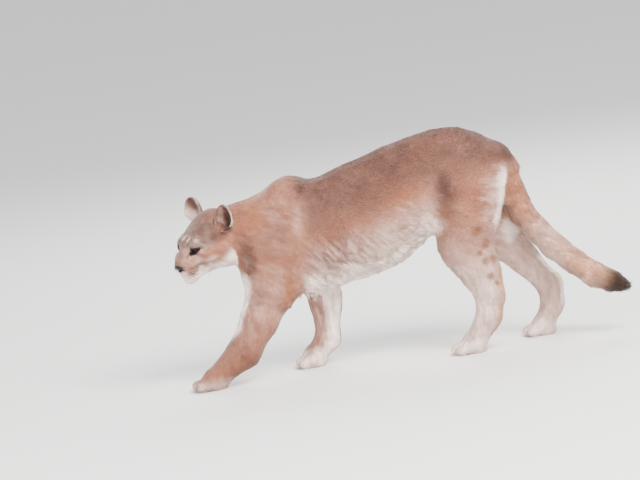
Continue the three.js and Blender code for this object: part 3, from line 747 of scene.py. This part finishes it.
def mark_face(local, head, fur):
    x, y, z = local.T
    wander = lumps(local, 16, 33)
    forehead = ramp(-12, 16, z) * fall(24, 44, x) * (0.35 + 0.65 * ramp(-95, -40, x))
    fur.lay(head, pale=0.06 + 0.16 * ramp(-60, 10, x), warm=0.08)
    fur.lay(head, brown=0.1 + (0.82 + 0.2 * wander) * forehead)
    fur.lift(head * ramp(14, 34, x) * fall(-62, -50, z - 0.3 * (x - 44) + 3 * wander), pale=0.85)
    fur.lift(head * fall(-78, -62, z) * ramp(-30, 5, x), pale=1)
    fur.lift(head * fall(-66, -34, z + 6 * wander) * ramp(-135, -90, x), pale=0.7)
    pale_marks = ((0.9, (-66, 82, -58), (30, 40, 20)), (0.42, (24, 40, -34), (26, 22, 20)),
                  (0.5, (16, 12, 27), (14, 7.5, 20)), (0.4, (-8, 62, -36), (24, 20, 12)),
                  (0.46, (2, 36, 22), (20, 16, 8.5)))
    brown_marks = ((0.85, (9, 20, 28), (9, 3.2, 10)), (0.6, (-24, 44, 38), (30, 24, 14)),
                   (0.85, (-72, 74, 38), (12, 12, 12)), (0.6, (-60, 60, 20), (18, 14, 12)),
                   (0.6, (-6, 66, -8), (12, 16, 4)))
    for side in (-1, 1):
        one_side = local * (1, side, 1)
        for amount, middle, reach in pale_marks:
            mark = amount * spot(one_side, middle, reach) * head
            fur.lift(mark, pale=1)
            fur.cut(mark, brown=0.8)
        for amount, middle, reach in brown_marks:
            mark = amount * spot(one_side, middle, reach) * head
            fur.lift(mark, brown=1)
            fur.cut(mark, pale=0.7)
        stripe = spot(one_side, (-17, 68, -19), (26, 24, 8)) * head
        fur.cut(stripe, pale=0.7)
        fur.lift(stripe, warm=0.3)
        pad = ramp(0.08, 0.8, spot(one_side, (45, 36, -56), (24, 25, 17))) * head
        fur.lay(pad, warm=0.1)
        fur.lift(pad * (0.9 + 0.5 * lumps(local, 6, 34)), brown=0.52)
        fur.cut(pad, pale=0.9)
        distance, across, height, depth = eye_place(local, side)
        near = head & (depth > -2) & (lengths(local - eye_centres[side]) < 42)
        tear = hump(across + slit_reach + 3 - 0.35 * (height + 8), 2.8)
        tear = tear * ramp(-27, -15, height) * (height < -3)
        outer = hump(height - 4.5 + 0.1 * (across - slit_reach), 2.0) * hump(across - slit_reach - 2, 6)
        # Above the inner corner: dark fur, together with painted shade under the brow.
        inner = hump(across + 11, 5) * hump(height - 8, 5)
        for amount, line in ((1, fall(2.4, 5.0, distance)), (0.75, tear), (0.8, outer), (0.7, inner)):
            fur.lift(line * near, dark=amount)
    above, strength, _ = mouth_place(local)
    fur.lift(hump(above, 2.7) * strength * head, dark=0.95)
    fur.lift(hump(y, 4.5) * hump(x - 20, 16) * hump(z - 24, 15) * head, brown=0.9, dark=0.25)
    round_nose = nose_measure(local)
    wings = ramp(0.8, 1.1, round_nose) * fall(1.2, 2.1, round_nose) * head * (x > 45) * (z > -54)
    fur.lift(wings, brown=0.9, dark=0.4)
    fur.lift(hump(y, 15) * ramp(10, 34, x) * ramp(-40, -24, z) * head, brown=0.6)


def mark_ears(local, normals, ear_mask, fur):
    """Brown backs, painted shade in the hollow to the outer side, greyish hair to the inner side and a thin
    pale rim.
    """
    for side in (-1, 1):
        base, opening, outward, upright = ear_axes(side)
        mine = ear_mask & (local[:, 1] * side > 0)
        offset = local - base
        t = np.clip(offset @ upright / ear_tall, 0, 1)
        aside = offset @ outward / (ear_wide * np.maximum(ear_width(t), 0.1))
        hollow = mine & ((normals @ head_turning) @ opening > 0.0) & (np.abs(aside) < 0.94)
        rim = mine * ramp(0.3, 0.5, t) * np.maximum(ramp(0.93, 1.0, np.abs(aside)), ramp(0.965, 0.995, t))
        rim *= ramp(-0.2, 0.5, aside + (t - 0.6))
        tip = ramp(0.55, 0.95, t)
        fur.lay(mine, pale=0.14, brown=0.4 + 0.1 * ramp(0.3, 0.8, t), dark=0.3 * tip * (1 - rim), warm=0.2)
        # The hollow's dark is painted shade. It, and how pale the hollow's lit part is, differ between the
        # near and the far ear as the light falls on them.
        shadow = ramp(-0.62, 0.0, aside + 0.45 * (t - 0.5) + 0.12 * lumps(local, 7, 35))
        shadow = shadow * (1 if side > 0 else ramp(0.3, 0.85, t - 0.25 * aside)) * ramp(0.14, 0.38, t)
        light, deep = (0.2, 0.66) if side > 0 else (0.46, 0.42)
        fur.lay(hollow, pale=light * (1 - shadow) + 0.05, brown=0.42 + 0.4 * shadow, warm=0.15,
                   dark=0.05 + deep * shadow * (1 - 0.5 * tip))
        fur.lift(rim, pale=0.44)
        fur.cut(rim, dark=0.85)


def markings(points, normals, ear_mask):
    fur = Shades(len(points))
    local = to_head(points)
    mark_body(points, normals, fur)
    mark_face(local, in_head(points) & ~ear_mask, fur)
    mark_ears(local, normals, ear_mask, fur)
    return np.clip(np.stack([fur.pale, fur.dark, fur.warm, fur.brown], axis=1), 0, 1)


# Coat: one tapered tuft of solid hair at each of many places, denser and shorter on the face and feet
def coat_sizes(points, normals, ear_mask):
    """Spacing, length, width and height of the tufts at each place, in millimetres."""
    x, _, z = to_source(points).T
    head = in_head(points)
    low = fall(40, 120, z)
    under = ramp(0.2, 0.8, -normals[:, 2]) * ramp(-190, -120, x) * fall(330, 400, x) * ramp(225, 240, z)
    breast = ramp(0.3, 0.8, -normals[:, 0]) * (x < -200) * (z > 230) * (z < 400) * ~head
    rear = ramp(0.5, 0.9, normals[:, 0]) * (x > 300) * (z > 300)
    clump = np.clip(1.6 * lumps(points, 0.012, 61), 0, 1)
    tail = fall(0.043, 0.052, along_line(points, tail_line[1:])[3]) * (x > 540)
    end = tail * ramp(0.42, 0.5, along_line(points, tail_line)[0])
    spacing = 2.3 - 0.7 * low
    length = 18.0 - 8.5 * low - 3.0 * fall(120, 300, z) + (14 + 8 * clump) * under + 10 * breast + 8 * rear
    length = length * (1 - tail) + (26 + 6 * end) * tail
    width = 1.75 - 0.55 * low + 0.4 * under
    height = coat_depth(points) * 1000 + (2.5 + 7.0 * clump) * under + 1.5 * breast + 1.5 * rear + 3.5 * end
    hx, hy, hz = to_head(points).T
    face = ramp(-60, 5, hx)
    ruff = hump(np.abs(hy) - 66, 22) * hump(hx + 78, 34) * hump(hz + 62, 34)
    length = np.where(head, 14 - 8.0 * face + 12 * ruff - 1.4 * ramp(25, 45, hx), length)
    spacing = np.where(head, 2.0 - 0.65 * face, spacing)
    width = np.where(head, 1.5 - 0.6 * face, width)
    height = np.where(head, height + 8.0 * ruff, height)
    on_ear = (1.6, 7.0, 0.95, 1.0)
    return [np.where(ear_mask, ear, body) for ear, body in zip(on_ear, (spacing, length, width, height))]


def streak_of(points):
    """Slow change of shade along the hair and quick change across it, from -1 to 1."""
    local = points - shift
    along, across = turned(local, np.where(local[:, 2] < 0.25, math.pi / 2, 0.5))
    stretched = np.stack([along / 4, local[:, 1], across], axis=1)
    return 0.5 * lumps(stretched, 0.013, 41) + 0.55 * lumps(stretched, 0.0055, 42)


def unwrapped(points, region):
    """Place on an unwrap of the skin's own shape: round the region's middle line, and along it."""
    if region in ("head", "ears"):
        x, y, z = unit(to_head(points) - (-30, 0, -20)).T
        return np.stack([np.arctan2(y, x) / (2 * math.pi) + 0.5, np.arccos(z) / math.pi], axis=1)
    if region in limb_points:
        travel, place, direction, _ = along_line(points, limb_points[region])
        spoke = points - place
        sideways = np.sum(spoke * unit(np.cross(direction, (0, 1, 0))), axis=1)
        angle = np.arctan2(spoke[:, 1], sideways)
        lengthwise = travel / line_length(limb_points[region])
    else:
        x, y, z = (points - shift).T
        angle = np.arctan2(y, np.interp(x, (-0.3, 0.1, 0.5), (0.40, 0.45, 0.55)) - z)
        lengthwise = (x + 0.42) / 1.02
    return np.stack([angle / (2 * math.pi) + 0.5, lengthwise], axis=1)


regions = {
    "head": ["head", "nose", "eye_left", "eye_right", "ear_left", "ear_right"],
    "ears": [],
    "breast": ["neck", "chest"],
    "flank": ["abdomen"],
    "rump": ["rump"],
}
leg_parts = {"fore": ("upper_arm", "forearm", "forepaw"), "hind": ("thigh", "shank", "hind_foot", "hindpaw")}
for pair, parts in leg_parts.items():
    for side in ("left", "right"):
        regions[f"{pair}_{side}"] = [f"{part}_{side}" for part in parts]
regions["tail"] = ["tail_base", "tail_middle", "tail_tip"]
region_names = list(regions)
region_of_part = {part: index for index, name in enumerate(region_names) for part in regions[name]}

skin_points = points_of(skin.data)
skin_normals = normals_of(skin.data)
skin_is_ear = np.arange(len(skin_points)) >= body_count
skin_triangles = triangles_of(skin.data)


def bare_places(points):
    """Places with no coat: the openings of the eyes, the nose, the lips and the soles."""
    local = to_head(points)
    bare = points[:, 2] < 0.0035
    for side in (-1, 1):
        distance, _, _, depth = eye_place(local, side)
        bare |= (lengths(local - eye_centres[side]) < 34) & (distance < 2.2) & (depth > 0)
    above, strength, _ = mouth_place(local)
    bare |= in_head(points) & (strength > 0.3) & (np.abs(above) < 2.7)
    return bare | (nose_measure(local) < 1.12) & (local[:, 0] > 45)


def coat_roots():
    corners = skin_points[skin_triangles]
    middles = corners.mean(axis=1)
    is_ear = skin_is_ear[skin_triangles[:, 0]]
    face_normals = unit(skin_normals[skin_triangles].mean(axis=1))
    area = lengths(np.cross(corners[:, 1] - corners[:, 0], corners[:, 2] - corners[:, 0])) / 2
    spacing = coat_sizes(middles, face_normals, is_ear)[0] * 0.001
    count = np.floor(area / spacing ** 2 + random.random(len(area))).astype(int)
    picked = np.repeat(np.arange(len(area)), count)
    weights = random.dirichlet((1.2, 1.2, 1.2), len(picked))
    roots = np.einsum("ij,ijk->ik", weights, corners[picked])
    root_normals = unit(np.einsum("ij,ijk->ik", weights, skin_normals[skin_triangles[picked]]))
    keep = ~bare_places(roots)
    return roots[keep], root_normals[keep], is_ear[picked][keep]


def tuft_points(roots, normals, lies, length, width, height):
    """Root, left, right and tip of each tuft, bent so that it rises and then lies flat."""
    half = np.cross(normals, lies) * (width / 2)[:, None]
    middle = roots + lies * (0.42 * length)[:, None] + normals * (0.74 * height)[:, None]
    tip = roots + lies * length[:, None] + normals * height[:, None]
    return np.stack([roots - normals * 0.0006, middle + half, middle - half, tip], axis=1)


tuft_faces = np.array([(0, 2, 1), (3, 1, 2), (0, 1, 3), (0, 3, 2)])


def store(mesh, name, values):
    """Numbers of the points as a colour attribute, which the materials read."""
    filled = np.zeros((len(mesh.vertices), 4))
    filled[:, :values.shape[1]] = values
    write(mesh.attributes.new(name, "FLOAT_COLOR", "POINT").data, "color", filled)


def coat_piece(name, region, roots, normals, lies, sizes, marks, hair):
    count = len(roots)
    corners = tuft_points(roots, normals, lies, *(each * 0.001 for each in sizes))
    corners[:, :, 2] = np.maximum(corners[:, :, 2], 0.0004)
    faces = (tuft_faces[None] + 4 * np.arange(count)[:, None, None]).reshape(-1, 3)
    mesh = bpy.data.meshes.new(name)
    mesh.vertices.add(4 * count)
    mesh.loops.add(faces.size)
    mesh.polygons.add(len(faces))
    write(mesh.vertices, "co", corners)
    write(mesh.loops, "vertex_index", faces, np.int32)
    write(mesh.polygons, "loop_start", np.arange(0, faces.size, 3), np.int32)
    mesh.update(calc_edges=True)
    mesh.validate()
    mesh.shade_smooth()
    store(mesh, "markings", np.repeat(marks, 4, axis=0))
    store(mesh, "hair", np.column_stack([np.repeat(hair, 4, axis=0), np.tile((0.0, 0.45, 0.45, 1.0), count)]))
    spread = np.array([(0, -0.7), (0.7, 0), (-0.7, 0), (0, 0.7)]) * 0.0021
    places = (unwrapped(roots, region)[:, None, :] + spread[None]).reshape(-1, 2)
    write(mesh.uv_layers.new(name="OFBake").data, "uv", places[faces.ravel()])
    side = 0.55 * np.cross(normals, lies)
    shading = unit(np.stack([normals, normals + side, normals - side, normals + 0.25 * lies], axis=1))
    mesh.normals_split_custom_set_from_vertices(shading.reshape(-1, 3).astype(np.float32))
    return add_object(name, mesh)


roots, root_normals, root_is_ear = coat_roots()
root_lies = coat_lie(roots, root_normals, root_is_ear)
spacing, length, width, height = coat_sizes(roots, root_normals, root_is_ear)
count = len(roots)
turn = 0.16 * random.standard_normal(count) + 0.22 * lumps(roots, 0.016, 51) + 0.12 * lumps(roots, 0.006, 52)
side = np.cross(root_normals, root_lies)
root_lies = unit(root_lies * np.cos(turn)[:, None] + side * np.sin(turn)[:, None])
length *= 0.8 + 0.4 * random.random(count) + 0.12 * lumps(roots, 0.012, 53)
height *= 0.75 + 0.4 * random.random(count) + 0.15 * lumps(roots, 0.012, 54)
width *= 0.8 + 0.4 * random.random(count)
root_marks = markings(roots, root_normals, root_is_ear)
root_hair = np.column_stack([streak_of(roots) * 0.5 + 0.5, random.random(count)])
root_regions = np.array([region_of_part[part_names[index]] for index in part_of(roots)])
root_regions[root_is_ear] = region_names.index("ears")
coat = []
most_tufts = 48000
for index, region in enumerate(region_names):
    chosen = np.nonzero(root_regions == index)[0]
    pieces = -(-len(chosen) // most_tufts)
    chosen = chosen[np.argsort(roots[chosen] @ (1, 0, 0.3))]
    for number, part in enumerate(np.array_split(chosen, max(pieces, 1))):
        name = f"coat_{region}" if pieces < 2 else f"coat_{region}_{number + 1}"
        sizes = (length[part], width[part], height[part])
        coat.append(coat_piece(name, region, roots[part], root_normals[part], root_lies[part], sizes,
                               root_marks[part], root_hair[part]))

store(skin.data, "markings", markings(skin_points, skin_normals, skin_is_ear))
store(skin.data, "hair", np.column_stack([streak_of(skin_points) * 0.5 + 0.5, np.full(len(skin_points), 0.5),
                                          np.full(len(skin_points), 0.3)]))


# Eyes: a ball with a raised, clear front
def add_eye(name, side):
    shape = bmesh.new()
    bmesh.ops.create_uvsphere(shape, u_segments=48, v_segments=32, radius=eye_radius)
    gaze = eye_frame(side)[0]
    turned = Vector(gaze).to_track_quat("Z", "Y").to_matrix()
    bmesh.ops.rotate(shape, verts=shape.verts, matrix=turned)
    for vertex in shape.verts:
        facing = vertex.co.normalized().dot(Vector(gaze))
        vertex.co *= 1 + 0.05 * float(ramp(0.78, 0.95, facing))
        vertex.co = Vector(from_head((np.array(vertex.co) + eye_centres[side])[None])[0])
    mesh = as_mesh(shape, name)
    mesh.shade_smooth()
    return add_object(name, mesh)


# Nose: a bare pad with two nostrils, each drawn out to the side
def add_nose():
    shape = bmesh.new()
    for middle, reach in (((60, 0, -40), (15, 19, 9.5)), ((60, 0, -51), (12.5, 9, 10)),
                          ((56, 15, -43.5), (14.5, 9.5, 8.5)), ((56, -15, -43.5), (14.5, 9.5, 8.5))):
        matrix = Matrix.Translation(middle) @ Matrix.Diagonal((*reach, 1))
        bmesh.ops.create_icosphere(shape, subdivisions=4, radius=1.0, matrix=matrix)
    piece = add_object("nose_pad", as_mesh(shape, "nose_pad"))
    mesh = voxel_remeshed(piece, 0.8)
    points = softened(points_of(mesh), edges_of(mesh), 10, 0.5)
    set_points(mesh, points)
    normals = normals_of(mesh)
    x, y, z = points.T
    y = np.abs(y)
    hollow = np.exp(-((y - 8.0) / 3.0) ** 2 - ((z + 47.5) / 2.6) ** 2)
    wing = np.exp(-((y - 15.5) / 5.0) ** 2 - ((z + 45.2 - 0.4 * (y - 13)) / 1.3) ** 2)
    hole = np.maximum(hollow, 0.85 * wing)
    groove = hump(y, 0.9) * (z < -39)
    front = ramp(56, 61, x)
    points = points - normals * ((5.0 * ramp(0.25, 0.9, hole) + 1.1 * groove) * front)[:, None]
    set_points(mesh, from_head(points))
    store(mesh, "hollow", np.column_stack([ramp(0.3, 0.8, hole) * front, groove * front]))
    mesh.shade_smooth()
    return piece


# Whiskers: rows of fine tapered hairs from the pads beside the nose, and a few over each eye
hair_radius = 0.0002
hair_steps = 8


def add_hairs(name, hairs):
    """Fine tapered hairs from curves with a round bevel. Each has a root, a way, a sag and a length."""
    lines = bpy.data.curves.new(name, "CURVE")
    lines.dimensions = "3D"
    lines.bevel_depth = hair_radius
    lines.bevel_resolution = 1
    lines.use_fill_caps = True
    for root, direction, sag, length in hairs:
        spline = lines.splines.new("POLY")
        spline.points.add(hair_steps)
        for step, point in enumerate(spline.points):
            t = step / hair_steps
            point.co = (*(root + direction * length * t + sag * length * t * t), 1)
            point.radius = (1.02 - t) ** 0.7
    drawn = add_object(name + "_lines", lines)
    mesh = bpy.data.meshes.new_from_object(drawn.evaluated_get(bpy.context.evaluated_depsgraph_get()))
    bpy.data.objects.remove(drawn)
    mesh.shade_smooth()
    return add_object(name, mesh)


skin_tree = BVHTree.FromPolygons(skin_points.tolist(), skin_triangles.tolist())


def on_skin(head_point, head_direction):
    start = from_head(np.array(head_point, dtype=float)[None])[0]
    direction = unit(head_turning @ np.array(head_direction, dtype=float))
    found = skin_tree.ray_cast(Vector(start + direction * 0.12), Vector(-direction))
    return np.array(found[0]) if found[0] else start


def add_whiskers():
    hairs = []
    for side in (-1, 1):
        for row in range(4):
            for place in range(4):
                angle = math.radians(26 + 15 * place + 4 * (row % 2)) * side
                root = on_skin((14, 0, -50 - 5.5 * row), (math.cos(angle), math.sin(angle), 0))
                way = unit(np.array([-0.15 - 0.18 * place, side * 0.9, 0.14 - 0.16 * row]))
                length = (0.030 + 0.008 * place) * (0.85 + 0.3 * random.random())
                sag = head_turning @ (-0.28, -0.12 * side, -0.22)
                hairs.append((root, unit(head_turning @ way), sag, length))
        for place in range(3):
            root = on_skin((2, side * (24 + 5 * place), 24), (0.6, side * 0.25, 0.75))
            way = unit(np.array([0.35, side * (0.2 + 0.15 * place), 0.9]))
            length = 0.018 + 0.004 * place
            sag = head_turning @ (-0.5, side * 0.1, -0.1)
            hairs.append((root, unit(head_turning @ way), sag, length))
    return add_hairs("whiskers", hairs)


eyes = {side: add_eye("eyeball_left" if side > 0 else "eyeball_right", side) for side in (-1, 1)}
nose_pad = add_nose()
whiskers = add_whiskers()


# Materials
class Signal(namedtuple("Signal", "sheet socket")):
    """An output of a material's node. Python's operators on it add Math nodes."""


def operator(operation, swapped):
    def work(self, other):
        values = {0: other, 1: self} if swapped else {0: self, 1: other}
        return self.sheet.node("Math", {"operation": operation}, values)
    return work


for word, operation in (("add", "ADD"), ("sub", "SUBTRACT"), ("mul", "MULTIPLY"), ("truediv", "DIVIDE")):
    setattr(Signal, f"__{word}__", operator(operation, False))
    setattr(Signal, f"__r{word}__", operator(operation, True))


class Sheet:
    """A material's nodes, with its Principled shader."""

    def __init__(self, name, **constants):
        self.material = bpy.data.materials.new(name)
        self.material.use_nodes = True
        self.tree = self.material.node_tree
        self.shader = self.tree.nodes["Principled BSDF"]
        for socket, value in constants.items():
            self.shader.inputs[socket.replace("_", " ").title().replace("Ior", "IOR")].default_value = value

    def node(self, kind, settings=None, values=None, output=0):
        made = self.tree.nodes.new("ShaderNode" + kind)
        for setting, value in (settings or {}).items():
            setattr(made, setting, value)
        for socket, value in (values or {}).items():
            self.feed(made.inputs[socket], value)
        return Signal(self, made.outputs[output])

    def feed(self, socket, value):
        if isinstance(value, Signal):
            self.tree.links.new(value.socket, socket)
        else:
            socket.default_value = colour(value) if isinstance(value, str) else value

    def mixed(self, first, second, share):
        colours = {6: first, 7: second, 0: share}
        return self.node("Mix", {"data_type": "RGBA", "clamp_factor": True}, colours, 2)

    def shaded(self, colour, factor):
        grey = self.node("CombineColor", None, {0: factor, 1: factor, 2: factor})
        settings = {"data_type": "RGBA", "blend_type": "MULTIPLY"}
        return self.node("Mix", settings, {0: 1.0, 6: colour, 7: grey}, 2)

    def stepped(self, value, low, high):
        return self.node("MapRange", {"interpolation_type": "SMOOTHSTEP"}, {0: value, 1: low, 2: high})

    def places(self):
        return self.node("TexCoord", None, None, "Object")

    def grain(self, scale, detail=3.0):
        return self.node("TexNoise", None, {"Vector": self.places(), "Scale": scale, "Detail": detail})

    def numbers(self, name):
        numbers = self.node("Attribute", {"attribute_name": name}, None, "Color")
        parts = self.node("SeparateColor", None, {0: numbers}).socket.node.outputs
        return [Signal(self, socket) for socket in (*parts, numbers.socket.node.outputs["Alpha"])]

    def bump(self, height, strength, distance):
        values = {"Height": height, "Strength": strength, "Distance": distance}
        self.paint("Normal", self.node("Bump", None, values))

    def paint(self, socket, value):
        self.feed(self.shader.inputs[socket], value)


def colour(code):
    parts = [int(code[start:start + 2], 16) / 255 for start in (1, 3, 5)]
    return (*(part / 12.92 if part <= 0.04045 else ((part + 0.055) / 1.055) ** 2.4 for part in parts), 1.0)


def fur_material(name, painted_root_light):
    sheet = Sheet(name, roughness=0.78, sheen_weight=0.25, sheen_roughness=0.45, specular_ior_level=0.22)
    pale, dark, warm, brown = sheet.numbers("markings")
    streak, chance, along, _ = sheet.numbers("hair")
    patch = sheet.grain(9.0, 4.0)
    fleck = sheet.grain(160.0, 2.0)
    coat_colour = sheet.mixed("#966450", "#86533f", sheet.stepped(patch, 0.35, 0.7))
    coat_colour = sheet.mixed(coat_colour, "#4a3029", brown)
    coat_colour = sheet.mixed(coat_colour, "#8e5026", warm * 0.8)
    pale_colour = sheet.mixed("#fbe5d9", "#eab088", warm)
    paleness = sheet.stepped(pale + (streak - 0.5) * 0.22, 0.02, 0.98)
    coat_colour = sheet.mixed(coat_colour, pale_colour, paleness)
    coat_colour = sheet.mixed(coat_colour, "#130b08", dark)
    # Hair is painted lighter towards its roots: painted light against the shade between the tufts.
    tone = 0.74 + streak * 0.46 + (chance - 0.5) * 0.22 + (fleck - 0.5) * 0.2 + (1 - along) * painted_root_light
    sheet.paint("Base Color", sheet.shaded(coat_colour, tone))
    sheet.bump(sheet.grain(420.0, 4.0) + fleck * 0.6, 0.35, 0.0012)
    return sheet.material


def eye_material(side):
    sheet = Sheet("eye_left" if side > 0 else "eye_right", roughness=0.35, specular_ior_level=0.05,
                  coat_weight=0.45, coat_roughness=0.04, coat_ior=1.2)
    middle = Vector(from_head(eye_centres[side][None])[0])
    gaze = head_turning @ eye_frame(side)[0]
    ray = sheet.node("VectorMath", {"operation": "SUBTRACT"}, {0: sheet.places(), 1: middle})
    ray = sheet.node("VectorMath", {"operation": "NORMALIZE"}, {0: ray})
    facing = sheet.node("VectorMath", {"operation": "DOT_PRODUCT"}, {0: ray, 1: tuple(gaze)}, "Value")
    rays = sheet.grain(900.0, 3.0)
    # The iris is painted very dark: its own brown, darkened further as painted shade from the brow.
    iris_in_shade = sheet.mixed("#0c0603", "#2a1709", sheet.stepped(facing + (rays - 0.5) * 0.05, 0.78, 0.9))
    eye = sheet.mixed("#171010", iris_in_shade, sheet.stepped(facing, 0.72, 0.755))
    eye = sheet.mixed(eye, "#030202", sheet.stepped(facing, 0.915, 0.93))
    sheet.paint("Base Color", eye)
    return sheet.material


def nose_material():
    sheet = Sheet("nose_leather", roughness=0.45, specular_ior_level=0.3)
    hollow = sheet.numbers("hollow")[0]
    blotch = sheet.grain(140.0, 3.0)
    skin_colour = sheet.mixed("#1d1211", "#110a09", sheet.stepped(blotch, 0.35, 0.65))
    # The nostrils are painted almost black, as painted shade inside them.
    skin_colour = sheet.mixed(skin_colour, "#050303", hollow * 0.95)
    sheet.paint("Base Color", skin_colour)
    sheet.paint("Roughness", 0.36 + blotch * 0.2)
    cells = sheet.node("TexVoronoi", {"feature": "DISTANCE_TO_EDGE"},
                       {"Vector": sheet.places(), "Scale": 850.0}, "Distance")
    sheet.bump(sheet.stepped(cells, 0.0, 0.12), 0.35, 0.0004)
    return sheet.material


def plain_material(name, code, **constants):
    sheet = Sheet(name, **constants)
    speck = sheet.grain(30.0, 3.0)
    sheet.paint("Base Color", sheet.mixed(code, "#ffffff", (speck - 0.5) * 0.06))
    return sheet.material


skin.data.materials.clear()
# The skin under the tufts is painted lighter in the same way, against the shade between them.
skin.data.materials.append(fur_material("short_fur", 0.5))
hair_material = fur_material("tufted_fur", 0.3)
for piece in coat:
    piece.data.materials.append(hair_material)
for side, piece in eyes.items():
    piece.data.materials.append(eye_material(side))
nose_pad.data.materials.clear()
nose_pad.data.materials.append(nose_material())
whiskers.data.materials.append(plain_material("whisker", "#e9e2d6", roughness=0.4))

# What stands for what: the new pieces move with the root, and the solids they replace are hidden
for piece in [skin, *coat, *eyes.values(), nose_pad, whiskers]:
    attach(piece, "root")
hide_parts(*[name for name in nodes if not name.startswith(("eye", "nose"))])
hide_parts("eye_left")
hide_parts("eye_right")
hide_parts("nose")


# Floor, light and camera
def add_floor():
    shape = bmesh.new()
    bmesh.ops.create_grid(shape, x_segments=1, y_segments=1, size=40)
    mesh = as_mesh(shape, "floor")
    mesh.materials.append(plain_material("floor", "#dedcd8", roughness=0.9))
    return add_object("floor", mesh)


def add_light(name, place, power, size, warmth):
    lamp = bpy.data.lights.new(name, "AREA")
    lamp.energy = power
    lamp.size = size
    lamp.color = warmth
    light = add_object(name, lamp)
    light.location = place
    light.rotation_euler = (body_middle - light.location).to_track_quat("-Z", "Y").to_euler()


body_middle = Vector((0, 0, 0.35))
add_floor()
add_light("key", (2.0, -3.6, 4.2), 900, 2.6, (1.0, 0.98, 0.96))
add_light("fill", (-3.4, -3.4, 2.6), 210, 3.0, (0.96, 0.97, 1.0))
add_light("rim", (0.6, 3.4, 3.2), 220, 2.4, (1.0, 1.0, 1.0))
world = bpy.data.worlds.new("studio")
world.use_nodes = True
world.node_tree.nodes["Background"].inputs[0].default_value = (0.93, 0.95, 1.0, 1.0)
world.node_tree.nodes["Background"].inputs[1].default_value = 1.3
bpy.context.scene.world = world

camera_distance = 12.0
camera_height_angle = math.radians(8)
camera_roll = math.radians(8)
picture_width = 640
pixels_per_metre = 330.0
target = placed(-37, 0, 395)
lens = bpy.data.cameras.new("camera")
lens.sensor_width = 36
lens.lens = lens.sensor_width * camera_distance * pixels_per_metre / picture_width
lens.clip_end = 200
camera = add_object("camera", lens)
toward = Vector((0, math.cos(camera_height_angle), -math.sin(camera_height_angle)))
level = Vector((1, 0, 0))
upright = level.cross(toward)
right = level * math.cos(camera_roll) - upright * math.sin(camera_roll)
above = level * math.sin(camera_roll) + upright * math.cos(camera_roll)
turning = Matrix((right, above, -toward)).transposed().to_4x4()
camera.matrix_world = Matrix.Translation(target - toward * camera_distance) @ turning
bpy.context.scene.camera = camera
